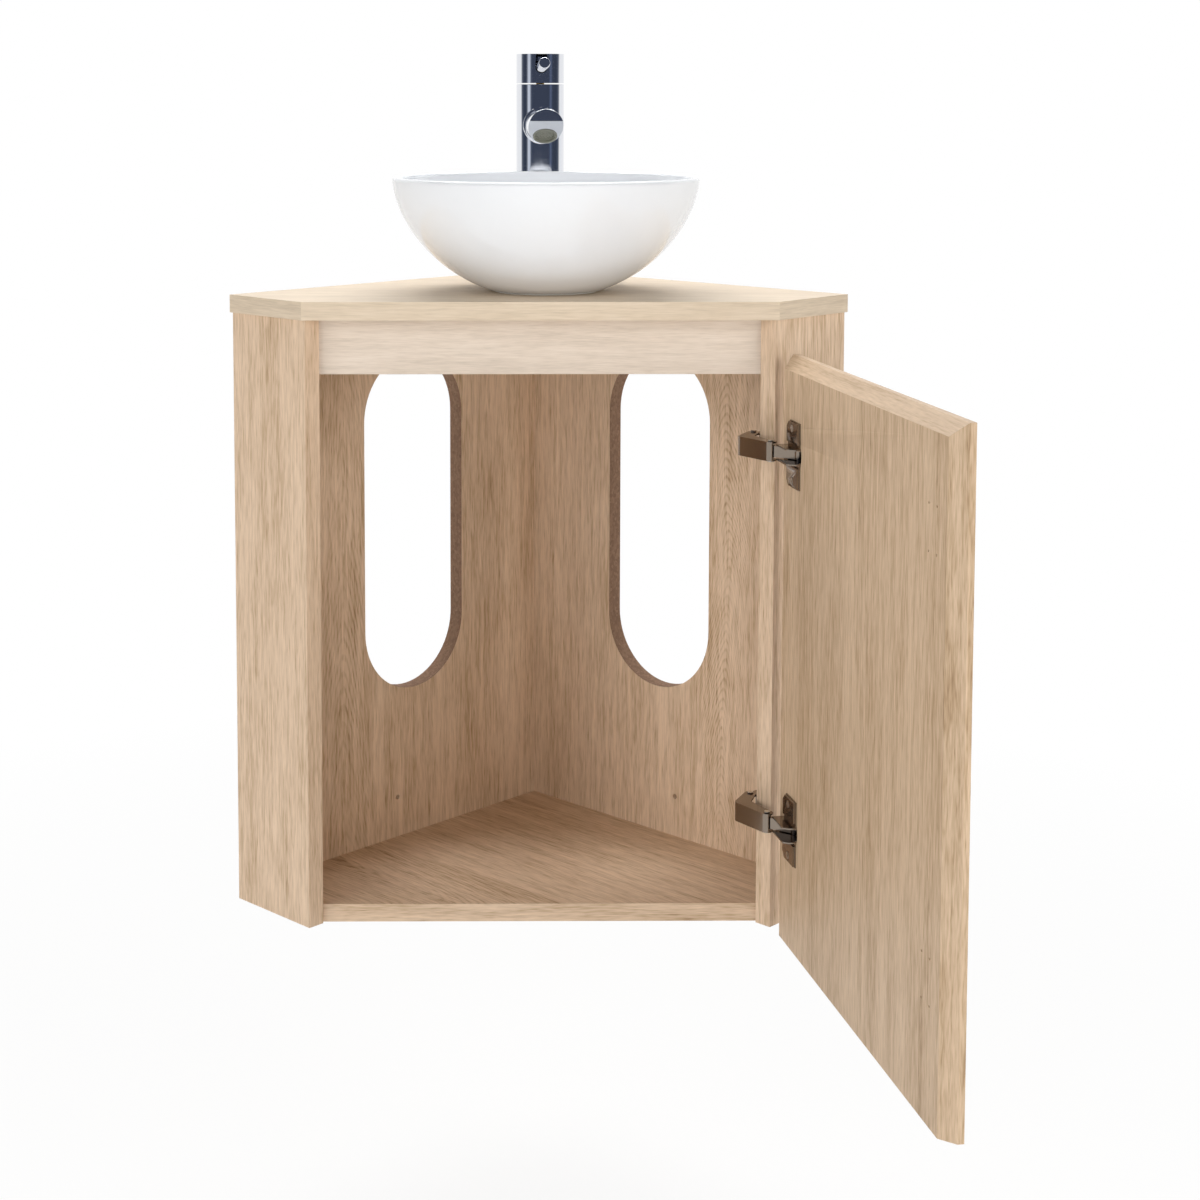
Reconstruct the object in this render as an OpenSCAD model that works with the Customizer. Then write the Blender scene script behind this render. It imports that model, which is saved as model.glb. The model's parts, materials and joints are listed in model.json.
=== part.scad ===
// Corner vanity unit: a wall-hung cabinet with a square plan whose front corner is cut off,
// one door on two concealed hinges, a round basin on the worktop and a tall single-lever tap.
// The origin is the room's corner at the underside of the cabinet. +Y points into that corner,
// so the whole unit lies at negative Y. +X is to the right and +Z is up. The door stands open.

/* [Boards] */
// Thickness of every board
board_t = 16; // [12:1:22]
// Width across the two front corners of the cabinet
front_w = 407; // [360:1:460]
// Width of each of the two side returns, which stand at 45 degrees
return_w = 100; // [85:1:140]
// Height of the cabinet without its worktop
carcass_h = 540; // [500:5:700]
// Height of the rail above the door
rail_h = 49; // [45:1:80]
// How far the rail and the bottom panel lie behind the front corners
rail_recess = 15; // [12:1:20]

/* [Worktop] */
// Thickness of the worktop
worktop_t = 16; // [12:1:30]
// Overhang of the worktop at the front
worktop_front = 2; // [0:0.5:10]
// Overhang of the worktop at each side
worktop_side = 3.5; // [0:0.5:10]
// Diameter of the hole below the basin's waste
waste_hole_d = 48; // [47:1:60]
// Diameter of the hole below the tap
tap_hole_d = 37; // [30:1:38]

/* [Wall cut-outs] */
// Width of the round-ended pipe cut-out in each wall panel
cutout_w = 127; // [60:1:150]
// Lower end of the cut-out above the underside
cutout_bottom = 160; // [90:1:240]
// Upper end of the cut-out above the underside
cutout_top = 488; // [400:1:488]
// Distance from the inner corner to the middle of the cut-out
cutout_from_corner = 167; // [120:1:190]
// Diameter of the four holes for the wall screws
wall_screw_d = 5; // [4:0.5:8]
// Distance from the inner corner to the wall screws
wall_screw_from_corner = 190; // [170:1:210]
// Height of the lower wall screws above the underside
wall_screw_low = 55; // [40:1:70]
// Distance from the upper wall screws down to the worktop
wall_screw_drop = 28; // [20:1:34]

/* [Door] */
// Distance from each front corner of the cabinet to the edge of the door's inner face
door_side = 19.3; // [17.5:0.1:30]
// Thickness of the door
door_t = 16; // [14:1:19]
// Height of the door's inner face
door_h = 500; // [470:1:505]
// Depth of the 45 degree bevel on the top and both sides, which serves as the finger grip
door_bevel = 11; // [6:0.5:12]
// Running gap between the closed door and the boards behind it
door_gap = 1; // [0.5:0.1:3]
// Opening angle of the door as it is drawn
door_angle = 100; // [0:1:105]
// Distance from the front corner outwards to the door's turning axis
pivot_out = 6.7; // [6:0.1:8]
// Distance from the front corner back to the door's turning axis
pivot_back = 8.5; // [7.5:0.1:10]

/* [Hinges] */
// Height of the lower hinge above the underside
hinge_low = 105.5; // [60:0.5:150]
// Height of the upper hinge above the underside
hinge_high = 430.6; // [380:0.1:440]
// Diameter of the hinge cup
cup_d = 35; // [34:0.5:36]
// Depth of the hinge cup
cup_depth = 11; // [10:0.5:12]
// Distance from the door's edge to the middle of the cup
cup_from_edge = 30; // [28:0.5:34]
// Height of the plate round the cup
cup_plate_h = 57; // [54:1:64]
// Width of the plate round the cup
cup_plate_w = 31; // [26:1:34]
// Thickness of the plate's two raised ends
cup_wing_t = 2.8; // [2:0.1:3]
// Distance from the door's edge to the pin in the cup
cup_pin_from_edge = 26; // [25:0.5:28]
// Depth of the pin below the door's inner face
cup_pin_depth = 5; // [4:0.5:6]
// Diameter of every hinge pin
hinge_pin_d = 3; // [2.5:0.1:3.5]
// Thickness of the hinges' sheet steel
hinge_steel = 1.2; // [1:0.1:1.3]
// Overall height of the outer link's channel
link_h = 16.6; // [14.5:0.1:17]
// Distance from the straight line between its pins to the elbow of the outer link
link_bow = 12.9; // [11:0.1:14]
// Distance along that line from the arm's pin to the elbow
link_bow_at = 21.2; // [19:0.1:23]
// Radius of the outer link at its elbow
link_elbow_r = 6.8; // [6:0.1:7.2]
// Radius of the links round their pins
link_end_r = 5.2; // [4.5:0.1:5.4]
// Distance of the arm's pin from the return's inner face
arm_pin_in = 11.6; // [11:0.1:13]
// Distance of the arm's pin behind the return's front edge
arm_pin_back = 5.7; // [5:0.1:7]
// Length of the arm behind its pin
arm_l = 56; // [50:1:66]
// Distance from the return's front edge to the mounting plate's screws
plate_screw_back = 37; // [34:1:38]

/* [Basin] */
// Diameter of the basin's rim
basin_d = 279; // [240:1:300]
// Height of the basin
basin_h = 104; // [80:1:140]
// Diameter of the basin's foot
basin_foot_d = 96; // [86:1:120]
// Thickness of the basin's wall
basin_wall = 6; // [5:0.5:9]
// Thickness of the basin's floor round the waste
basin_floor = 12; // [10:0.5:16]
// Fullness of the basin's side, where 2 is an ellipse and less is more conical
basin_fullness = 1.77; // [1.6:0.01:2]
// Distance of the basin's middle behind the front corners
basin_back = 105.5; // [100:0.5:130]
// Sideways offset of the basin
basin_x = 6.7; // [-10:0.1:10]

/* [Waste] */
// Diameter of the waste's threaded tail
waste_d = 44; // [38:1:45]
// Diameter of the waste's flange in the basin
waste_flange_d = 62; // [56:1:66]
// Length of the waste's tail below the basin's foot
waste_tail_l = 66; // [60:1:74]
// Diameter of the tail's lower end, which takes the trap
waste_outlet_d = 41.9; // [31:0.1:42]
// Length of the tail's lower end
waste_outlet_l = 28; // [20:1:30]
// How far the plug rises when it opens
plug_travel = 8; // [5:0.5:10]

/* [Tap] */
// Diameter of the tap's column
tap_d = 47; // [44:0.5:52]
// Height of the tap
tap_h = 218; // [190:1:260]
// Height of the tap's turning cap
cap_h = 28.5; // [27:0.5:34]
// Gap between the cap and the column
cap_gap = 1.2; // [0.6:0.1:2]
// Distance of the tap's middle behind the front corners
tap_back = 285; // [278:0.5:292]
// Sideways offset of the tap
tap_x = 4.8; // [-10:0.1:10]
// Angle by which the whole tap is turned to the right
tap_turn = 2.3; // [-10:0.1:10]
// Diameter of the spout
spout_d = 33.4; // [30:0.2:36]
// Reach of the spout from the middle of the column
spout_reach = 103; // [90:1:125]
// Height of the spout's middle above the worktop
spout_z = 148; // [130:1:149]
// Height above the spout's middle at which the slanted outlet face starts
outlet_above = 5.3; // [3:0.1:7]
// Angle of the outlet below horizontal
outlet_angle = 56; // [50:1:62]
// Diameter of the aerator
aerator_d = 23; // [20:0.5:24]
// Diameter of the pin lever
lever_d = 11; // [8:0.5:12]
// Length of the pin lever from the middle of the cap
lever_l = 72; // [55:1:85]
// Upward slope of the pin lever when the water is off
lever_slope = 3.6; // [0:0.1:12]
// Angle through which the lever lifts
lever_lift = 20; // [12:1:22]

/* [Fasteners] */
// Diameter of the wooden dowels
dowel_d = 8; // [6:1:10]
// Length of the wooden dowels
dowel_l = 30; // [26:1:34]
// Diameter of the cam locks
cam_d = 15; // [12:1:16]
// Distance from a board's edge to the middle of its cam lock
cam_set = 34; // [24:1:34]
// Depth of a bolt, dowel or screw in a board's face
face_depth = 11; // [9:0.5:11.5]
// Clearance round dowels, cams and screws
fit = 0.05; // [0.03:0.01:0.08]

/* [Hidden] */
$fn = 96;

// Overlap that carries a cut past the face it starts from
past = 1;
// Colours of the boards, the hinges and the plated brass
oak = "burlywood";
nickel = "silver";
chrome = "lightsteelblue";

// Plan of the cabinet
half_w = front_w/2;
return_run = return_w/sqrt(2);
front_y = -(half_w + 2*return_run);
side_len = half_w*sqrt(2) + return_w;
wall_len = side_len - board_t;
recess_y = front_y + rail_recess;

// A point given along the right wall from the room's corner, and outwards from that wall's line
function side_point(along, out) = [(along + out)/sqrt(2), (out - along)/sqrt(2)];
// The point of the right return's inner face at a given Y
function return_inner_x(y) = wall_len*sqrt(2) + y;

module right_side() {
    rotate([0, 0, -45]) children();
}

module both_sides() {
    for (side = [0, 1]) mirror([side, 0, 0]) children();
}

// ---- Joints between the boards -------------------------------------------------------------
// Each joint's frame has its origin where the two boards meet, +Z into the board that the bolt is
// screwed into, +X along the edge and +Y towards the face that the cam lock is let into.
bottom_joints = [0.3*wall_len, 0.75*wall_len];
end_joints = [0.14*carcass_h, 0.8*carcass_h];
top_joints = [0.2*wall_len, 0.8*wall_len];
rail_joint_x = 0.27*front_w;
rail_mid_y = recess_y + board_t/2;
dowel_step = 32;
cam_t = 12.5;
bolt_d = 6;
bolt_head_d = 7;

module bottom_joint_frames() {
    both_sides() right_side() for (a = bottom_joints)
        translate([a, -board_t, board_t/2]) rotate([-90, 0, 0]) children();
}

module end_joint_frames() {
    both_sides() right_side() for (z = end_joints)
        translate([wall_len, -board_t/2, z]) rotate([0, 90, 0]) rotate([0, 0, 180]) children();
}

module top_joint_frames() {
    both_sides() right_side() for (a = top_joints)
        translate([a, -board_t/2, carcass_h]) rotate([0, 0, 180]) children();
}

module rail_joint_frames() {
    both_sides() translate([rail_joint_x, rail_mid_y, carcass_h]) children();
}

// The rail and the bottom panel also meet the returns, with one dowel at each end
module return_dowel_frames() {
    both_sides() {
        translate([return_inner_x(rail_mid_y), rail_mid_y, carcass_h - rail_h/2])
            rotate([0, 90, 0]) children();
        translate([return_inner_x(rail_mid_y), rail_mid_y, board_t/2]) rotate([0, 90, 0]) children();
    }
}

module dowel(gap = 0) {
    translate([0, 0, face_depth - dowel_l - gap]) cylinder(h = dowel_l + 2*gap, d = dowel_d + 2*gap);
}

module cam_body(gap = 0) {
    outside = past*sign(gap);
    translate([0, board_t/2 + outside, -cam_set]) rotate([90, 0, 0])
        cylinder(h = cam_t + gap + outside, d = cam_d + 2*gap);
}

module joint_cut() {
    cam_body(fit);
    translate([0, 0, -cam_set]) cylinder(h = cam_set, d = bolt_head_d + 1);
    translate([0, 0, -past]) cylinder(h = face_depth + fit + past, d = bolt_d + 2*fit);
    translate([dowel_step, 0, 0]) dowel(fit);
}

module cam_lock() {
    difference() {
        cam_body();
        translate([0, 0, -cam_set - bolt_head_d/2 - past]) cylinder(h = cam_d, d = bolt_head_d + 1);
        for (turn = [0, 90]) translate([0, board_t/2, -cam_set]) rotate([0, turn, 0])
            cube([cam_d*0.6, 2, 1.5], center = true);
    }
}

module cam_bolt() {
    translate([0, 0, -cam_set]) {
        cylinder(h = 3, d = bolt_head_d);
        cylinder(h = cam_set + face_depth, d = bolt_d - 2);
    }
    cylinder(h = face_depth, d = bolt_d);
}

module assembly_dowels() color("tan") {
    bottom_joint_frames() translate([dowel_step, 0, 0]) dowel();
    end_joint_frames() translate([dowel_step, 0, 0]) dowel();
    top_joint_frames() translate([dowel_step, 0, 0]) dowel();
    rail_joint_frames() translate([dowel_step, 0, 0]) dowel();
    return_dowel_frames() dowel();
}

module cam_locks() color("darkgray") {
    bottom_joint_frames() cam_lock();
    end_joint_frames() cam_lock();
    top_joint_frames() cam_lock();
    rail_joint_frames() cam_lock();
}

module cam_bolts() color("gainsboro") {
    bottom_joint_frames() cam_bolt();
    end_joint_frames() cam_bolt();
    top_joint_frames() cam_bolt();
    rail_joint_frames() cam_bolt();
}

// ---- Boards --------------------------------------------------------------------------------
cutout_x = board_t + cutout_from_corner;
wall_screw_x = board_t + wall_screw_from_corner;
wall_screw_high = carcass_h - wall_screw_drop;

// A wall panel in the side frame; the right one runs through the corner, the left one butts it
module wall_panel(start) {
    difference() {
        right_side() difference() {
            translate([start, -board_t, 0]) cube([wall_len - start, board_t, carcass_h]);
            pipe_cutout();
            for (z = [wall_screw_low, wall_screw_high])
                translate([wall_screw_x, past, z]) rotate([90, 0, 0])
                    cylinder(h = board_t + 2*past, d = wall_screw_d);
        }
        bottom_joint_frames() joint_cut();
        end_joint_frames() joint_cut();
        top_joint_frames() joint_cut();
    }
}

module pipe_cutout() {
    r = cutout_w/2;
    translate([cutout_x, past, 0]) rotate([90, 0, 0]) {
        for (z = [cutout_bottom + r, cutout_top - r]) translate([0, z, 0])
            cylinder(h = board_t + 2*past, r = r);
        translate([-r, cutout_bottom + r, 0])
            cube([cutout_w, cutout_top - cutout_bottom - cutout_w, board_t + 2*past]);
    }
}

module left_wall_panel() color(oak) mirror([1, 0, 0]) wall_panel(board_t);

module right_wall_panel() color(oak) wall_panel(0);

module return_board() {
    difference() {
        right_side() translate([wall_len, -return_w, 0]) cube([board_t, return_w, carcass_h]);
        end_joint_frames() joint_cut();
        return_dowel_frames() dowel(fit);
    }
}

module left_return() color(oak) mirror([1, 0, 0]) return_board();

// The right return also takes the screws of the hinges' mounting plates
module right_return() color(oak) difference() {
    return_board();
    each_hinge() plate_screws(fit);
}

module bottom_panel() color(oak) difference() {
    inner_corner = side_point(board_t, -board_t);
    wall_end = side_point(wall_len, -board_t);
    front = [return_inner_x(recess_y), recess_y];
    linear_extrude(board_t) polygon([inner_corner, wall_end, front, [-front.x, front.y],
        [-wall_end.x, wall_end.y]]);
    bottom_joint_frames() joint_cut();
    return_dowel_frames() dowel(fit);
}

module top_rail() color(oak) difference() {
    back_y = recess_y + board_t;
    front_x = return_inner_x(recess_y);
    back_x = return_inner_x(back_y);
    translate([0, 0, carcass_h - rail_h]) linear_extrude(rail_h)
        polygon([[-front_x, recess_y], [front_x, recess_y], [back_x, back_y], [-back_x, back_y]]);
    rail_joint_frames() joint_cut();
    return_dowel_frames() dowel(fit);
}

module worktop() color(oak) difference() {
    back = side_point(side_len + worktop_side, 0);
    worktop_front_y = front_y - worktop_front;
    front_x = (side_len + worktop_side)*sqrt(2) + worktop_front_y;
    translate([0, 0, carcass_h]) linear_extrude(worktop_t)
        polygon([[0, 0], back, [front_x, worktop_front_y], [-front_x, worktop_front_y], [-back.x, back.y]]);
    top_joint_frames() joint_cut();
    rail_joint_frames() joint_cut();
    at_basin() translate([0, 0, -worktop_t - past]) cylinder(h = worktop_t + 2*past, d = waste_hole_d);
    at_tap() translate([0, 0, -worktop_t - past]) cylinder(h = worktop_t + 2*past, d = tap_hole_d);
}

// ---- Door ----------------------------------------------------------------------------------
door_w = front_w - 2*door_side;
door_hinge_x = door_w/2;
door_inner_y = recess_y - door_gap;
door_axis = [half_w + pivot_out, front_y + pivot_back];
// Pilot holes on the free side of the inner face: distances from its edge, and height above and below each
// hinge's middle
pilot_from_edge = [18.8, 34.2];
pilot_step = 17.3;
pilot_d = 2;
pilot_depth = 4;

// The door's own frame: X from the hinge edge across the inner face, Y outwards, Z up
module door_frame() {
    translate(door_axis) rotate([0, 0, door_angle]) translate(-door_axis)
        translate([door_hinge_x, door_inner_y, 0]) rotate([0, 0, 180]) children();
}

module door_panel() color(oak) door_frame() difference() {
    door_blank();
    each_hinge_height() {
        cup_blank(fit);
        cup_screws(fit);
        for (x = pilot_from_edge, z = [-pilot_step, pilot_step])
            translate([door_w - x, -past, z]) rotate([-90, 0, 0])
                cylinder(h = pilot_depth + past, d = pilot_d, $fn = 24);
    }
}

// The two side bevels come from the plan outline, and the top one from the profile
module door_blank() {
    outer_w = door_w + 2*door_bevel;
    outer_h = door_h + door_bevel;
    intersection() {
        linear_extrude(outer_h) polygon([[0, 0], [door_w, 0], [door_w + door_bevel, door_bevel],
            [door_w + door_bevel, door_t], [-door_bevel, door_t], [-door_bevel, door_bevel]]);
        translate([-door_bevel - past, 0, 0]) rotate([90, 0, 90]) linear_extrude(outer_w + 2*past)
            polygon([[0, 0], [door_t, 0], [door_t, outer_h], [door_bevel, outer_h], [0, door_h]]);
    }
}

// ---- Hinges --------------------------------------------------------------------------------
// Heights of the nested pieces above the middle of a hinge: inner link, cup and arm, outer link
slip = 0.3;
link_top = link_h/2;
cheek_top = link_top - hinge_steel - slip;
cheek_low = cheek_top - hinge_steel;
inner_top = cheek_low - slip;
pin_r = hinge_pin_d/2;
pin_bore_r = pin_r + fit;
rivet_head_r = pin_r + 1.2;
rivet_head_h = 0.8;
cup_screw_z = 22.5;
cup_screw_d = 3.4;
cup_screw_head_d = 6.4;
cup_screw_l = 13;
plate_t = 1.5;
plate_wing_w = 11;
plate_wing_z = 22;
plate_screw_z = 16;
plate_screw_d = 4;
plate_screw_head_d = 8;
saddle_h = 8;
arm_r = 4.8;
arm_back_in = 9;
arm_screws_back = [28, 50];
arm_screw_d = 5;
arm_screw_head_d = 8;

module each_hinge_height() {
    for (z = [hinge_low, hinge_high]) translate([0, 0, z]) children();
}

// The arm's frame: X inwards from the return's inner face, Y back from its front edge
module arm_frame() {
    right_side() translate([wall_len, -return_w, 0]) mirror([1, 0, 0]) children();
}

module each_hinge() {
    each_hinge_height() arm_frame() children();
}

function direction(angle) = [cos(angle), sin(angle)];

// A plate outline round two points, with an arc at each and straight sides that touch both arcs
module strap(p, q, p_r, q_r) {
    along = atan2(q.y - p.y, q.x - p.x);
    lean = acos((p_r - q_r)/norm(q - p));
    inside = 0.9;
    translate(p) circle(p_r);
    translate(q) circle(q_r);
    polygon([p + p_r*direction(along + lean), q + q_r*direction(along + lean),
        q + inside*q_r*direction(along), q + q_r*direction(along - lean),
        p + p_r*direction(along - lean), p - inside*p_r*direction(along)]);
}

// The same outline as two equal sheets, one above and one below the middle of the hinge
module cheeks(low, high) {
    for (end = [0, 1]) mirror([0, 0, end]) translate([0, 0, low]) linear_extrude(high - low) children();
}

// Mounting plate, screwed to the return: two wings, a foot under the arm and a saddle inside it
module hinge_plates() color(nickel) each_hinge() difference() {
    plate_front = plate_screw_back - 14;
    plate_back = arm_pin_back + arm_l;
    union() {
        translate([0, plate_front, -cheek_top]) cube([plate_t, plate_back - plate_front, 2*cheek_top]);
        translate([0, plate_screw_back - plate_wing_w/2, -plate_wing_z])
            cube([plate_t, plate_wing_w, 2*plate_wing_z]);
        translate([0, plate_front, -inner_top]) cube([saddle_h, plate_back - plate_front, 2*inner_top]);
    }
    plate_screws(fit);
    arm_screws(fit);
}

module plate_screws(gap = 0) {
    for (z = [-plate_screw_z, plate_screw_z]) translate([0, plate_screw_back, z]) rotate([0, 90, 0]) {
        translate([0, 0, -face_depth - gap])
            cylinder(h = face_depth + plate_t + past, d = plate_screw_d + 2*gap);
        if (gap == 0) translate([0, 0, plate_t]) difference() {
            cylinder(h = 2, d = plate_screw_head_d);
            translate([0, 0, 1]) cross_recess(4);
        }
    }
}

module cross_recess(w) {
    for (turn = [0, 90]) rotate([0, 0, turn]) translate([-w/2, -0.5, 0]) cube([w, 1, 2]);
}

module hinge_plate_screws() color("gray") each_hinge() plate_screws();

// The screws that hold the arm on the saddle, one to clamp it and one to set the door sideways
arm_top_in = arm_back_in + arm_r;

module arm_screws(gap = 0) {
    start = plate_t + 2;
    web_out = arm_top_in + hinge_steel;
    for (y = arm_screws_back) translate([0, y, 0]) rotate([0, 90, 0]) {
        translate([0, 0, start - gap]) cylinder(h = web_out + past/2 - start, d = arm_screw_d + 2*gap);
        if (gap == 0) translate([0, 0, web_out]) difference() {
            cylinder(h = 2.4, d = arm_screw_head_d);
            translate([0, 0, 1.2]) cross_recess(5);
        }
    }
}

module hinge_arm_screws() color("gray") each_hinge() arm_screws();

// The fixed arm is a channel: two cheeks that carry the pin, and a back that the screws go through
arm_pin = [arm_pin_in, arm_pin_back];
arm_end = [arm_back_in, arm_pin_back + arm_l];

module hinge_arm() arm_frame() difference() {
    back_start = arm_pin_back + 12;
    union() {
        cheeks(cheek_low, cheek_top) strap(arm_pin, arm_end, arm_r, arm_r);
        translate([arm_top_in, back_start, -cheek_top])
            cube([hinge_steel, arm_end.y - back_start, 2*cheek_top]);
        cheeks(cheek_low, cheek_top) translate([arm_back_in, back_start])
            square([arm_r + hinge_steel, arm_end.y - back_start]);
    }
    cylinder_at(arm_pin, pin_bore_r);
    for (y = arm_screws_back) translate([arm_back_in, y, 0]) rotate([0, 90, 0])
        cylinder(h = 2*arm_r, d = arm_screw_d + 1);
}

// A bore or shaft through the whole height of a hinge at a point of its plan
module cylinder_at(point, r, half_h = link_h) {
    translate([point.x, point.y, -half_h]) cylinder(h = 2*half_h, r = r);
}

module upper_hinge_arm() color(nickel) translate([0, 0, hinge_high]) hinge_arm();

module lower_hinge_arm() color(nickel) translate([0, 0, hinge_low]) hinge_arm();

module pin_with_heads(point) {
    cylinder_at(point, pin_r, link_top + slip);
    for (end = [0, 1]) mirror([0, 0, end])
        translate([point.x, point.y, link_top + slip]) cylinder(h = rivet_head_h, r = rivet_head_r);
}

module hinge_arm_pins() color("gray") each_hinge() pin_with_heads(arm_pin);

// Cup let into the door, with its plate and the two cheeks that hold the inner link's pin
cup_pin = [cup_pin_from_edge, cup_pin_depth];
cup_wall = 1.3;
cheek_rise = 11.5;
cheek_reach = 23.2;

// The cup and its plate as a solid, which is also the shape cut out of the door
module cup_blank(gap = 0) {
    translate([cup_from_edge, -past*sign(gap), 0]) rotate([-90, 0, 0])
        cylinder(h = cup_depth + gap + past*sign(gap), d = cup_d + 2*gap);
}

// The plate's outline above the middle of the hinge, drawn in by a margin, from a given height up
module plate_half(margin, from) {
    left = cup_from_edge - cup_plate_w/2 + margin;
    right = cup_from_edge + cup_plate_w/2 - margin;
    top = cup_plate_h/2 - margin;
    bevel = 5;
    polygon([[left, from], [right, from], [right, top], [left + bevel, top], [left, top - bevel]]);
}

// A thin plate whose two ends are raised and hold the heads of the screws in a round recess each
module cup_plate() rotate([90, 0, 0]) for (end = [0, 1]) mirror([0, end, 0]) {
    linear_extrude(hinge_steel) plate_half(0, -past);
    difference() {
        linear_extrude(cup_wing_t) plate_half(0.8, link_top + rivet_head_h + 3*slip);
        translate([cup_from_edge, cup_screw_z, hinge_steel])
            cylinder(h = cup_wing_t, d = cup_screw_head_d + 0.8);
    }
}

module hinge_cup() door_frame() difference() {
    union() {
        cup_blank();
        cup_plate();
        cheeks(cheek_low, cheek_top) intersection() {
            translate(cup_pin) circle(cheek_reach);
            translate([cup_from_edge - cup_d/2 + cup_wall, -cheek_rise])
                square([cup_d - 2*cup_wall, cheek_rise + cup_depth - cup_wall]);
        }
    }
    intersection() {
        translate([cup_from_edge, -2*hinge_steel, 0]) rotate([-90, 0, 0])
            cylinder(h = cup_depth - cup_wall + 2*hinge_steel, d = cup_d - 2*cup_wall);
        translate([0, -2*hinge_steel, -cheek_low]) cube([2*cup_d, 2*cup_depth, 2*cheek_low]);
    }
    cylinder_at(cup_pin, pin_bore_r, cheek_top + 2);
    for (z = [-cup_screw_z, cup_screw_z]) translate([cup_from_edge, past, z]) rotate([90, 0, 0])
        cylinder(h = 2*hinge_steel + past, d = cup_screw_d + 2*fit);
}

module upper_hinge_cup() color(nickel) translate([0, 0, hinge_high]) hinge_cup();

module lower_hinge_cup() color(nickel) translate([0, 0, hinge_low]) hinge_cup();

module cup_screws(gap = 0) {
    for (z = [-cup_screw_z, cup_screw_z])
        translate([cup_from_edge, -hinge_steel, z]) rotate([-90, 0, 0]) {
            cylinder(h = cup_screw_l + gap, d = cup_screw_d + 2*gap);
            if (gap == 0) translate([0, 0, -1.8]) difference() {
                cylinder(h = 1.8, d = cup_screw_head_d);
                translate([0, 0, -1]) cross_recess(3.6);
            }
        }
}

module hinge_cup_screws() color("gray") each_hinge_height() door_frame() cup_screws();

module hinge_cup_pins() color("gray") each_hinge_height() door_frame()
    cylinder_at(cup_pin, pin_r, cheek_top + 1.5);

// The two links, the door's axis and the arm's pin make a parallelogram. So the outer link always
// turns as far as the door, and the inner link keeps its direction while the cup carries it round.
arm_pin_xy = side_point(wall_len - arm_pin.x, arm_pin.y - return_w);
function turned(v, angle) = [v.x*cos(angle) - v.y*sin(angle), v.x*sin(angle) + v.y*cos(angle)];
closed_cup_pin_xy = [door_hinge_x - cup_pin.x, door_inner_y - cup_pin.y];
cup_pin_xy = door_axis + turned(closed_cup_pin_xy - door_axis, door_angle);
joint_pin_xy = cup_pin_xy + arm_pin_xy - door_axis;
link_l = norm(joint_pin_xy - arm_pin_xy);
link_turn = atan2(joint_pin_xy.y - arm_pin_xy.y, joint_pin_xy.x - arm_pin_xy.x);
elbow = [link_bow_at, -link_bow];

// The outer link's outline, drawn in by a given margin, with X from the arm's pin to the joint pin
module link_outline(margin = 0) {
    strap([0, 0], elbow, link_end_r - margin, link_elbow_r - margin);
    strap(elbow, [link_l, 0], link_elbow_r - margin, link_end_r - margin);
}

module outer_link() translate(arm_pin_xy) rotate([0, 0, link_turn]) difference() {
    web_start = link_end_r + 3;
    union() {
        cheeks(cheek_top + slip, link_top) link_outline();
        translate([0, 0, -link_top]) linear_extrude(2*link_top) difference() {
            link_outline();
            link_outline(hinge_steel);
            polygon([[-link_l, 0], [-link_l, -link_l], [web_start, -link_l],
                [web_start, elbow.y*web_start/elbow.x], elbow, [link_l - link_end_r, 0],
                [2*link_l, 0], [2*link_l, link_l], [-link_l, link_l]]);
        }
    }
    for (x = [0, link_l]) cylinder_at([x, 0], pin_bore_r);
}

module upper_outer_link() color(nickel) translate([0, 0, hinge_high]) outer_link();

module lower_outer_link() color(nickel) translate([0, 0, hinge_low]) outer_link();

// The rivet that carries the inner link's free end, with a collar on each side of that link
module link_rivet() {
    pin_with_heads(joint_pin_xy);
    cheeks(inner_top + slip, link_top - hinge_steel) translate(joint_pin_xy) circle(pin_r + 0.8);
}

module upper_link_rivet() color("gray") translate([0, 0, hinge_high]) link_rivet();

module lower_link_rivet() color("gray") translate([0, 0, hinge_low]) link_rivet();

// The inner link: two eyes joined by a bar that is slimmer and lower. Its bore at the joint pin is the
// looser one.
module inner_link() difference() {
    eye_r = pin_r + 2.1;
    bar_w = 2*pin_r + 1.6;
    bar_h = 2*inner_top - 1;
    bar_start = 0.6*eye_r;
    open_gap = 0.15;
    toward = joint_pin_xy - cup_pin_xy;
    union() {
        for (pin = [cup_pin_xy, joint_pin_xy]) translate([pin.x, pin.y, -inner_top])
            cylinder(h = 2*inner_top, r = eye_r);
        translate([cup_pin_xy.x, cup_pin_xy.y, -bar_h/2]) rotate([0, 0, atan2(toward.y, toward.x)])
            translate([bar_start, -bar_w/2, 0]) cube([norm(toward) - 2*bar_start, bar_w, bar_h]);
    }
    cylinder_at(cup_pin_xy, pin_bore_r);
    cylinder_at(joint_pin_xy, pin_r + open_gap);
}

module upper_inner_link() color(nickel) translate([0, 0, hinge_high]) inner_link();

module lower_inner_link() color(nickel) translate([0, 0, hinge_low]) inner_link();

// ---- Basin and waste -----------------------------------------------------------------------
worktop_z = carcass_h + worktop_t;
basin_y = front_y + basin_back;
seal_t = 1.5;
foot_recess = 3;
foot_ring_w = 9;
rim_steps = 32;
flange_t = 2;
basin_r = basin_d/2;
foot_r = basin_foot_d/2;

module at_basin() {
    translate([basin_x, basin_y, worktop_z]) children();
}

// Height over which the side would close to a point, set so that it meets the foot
side_reach = basin_h/pow(1 - pow(foot_r/basin_r, 2), 1/basin_fullness);
// Radius of the outside at a given height
function side_r(z) = basin_r*sqrt(1 - pow((basin_h - z)/side_reach, basin_fullness));
// Height of the floor inside, and the inside's radius at a given height
function inside_r(z) = (basin_r - basin_wall)*sqrt(1 - pow((basin_h - z)/inside_reach, basin_fullness));
floor_z = basin_floor;
floor_r = waste_flange_d/2 + 2;
inside_reach = (basin_h - floor_z)/pow(1 - pow(floor_r/(basin_r - basin_wall), 2), 1/basin_fullness);
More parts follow.
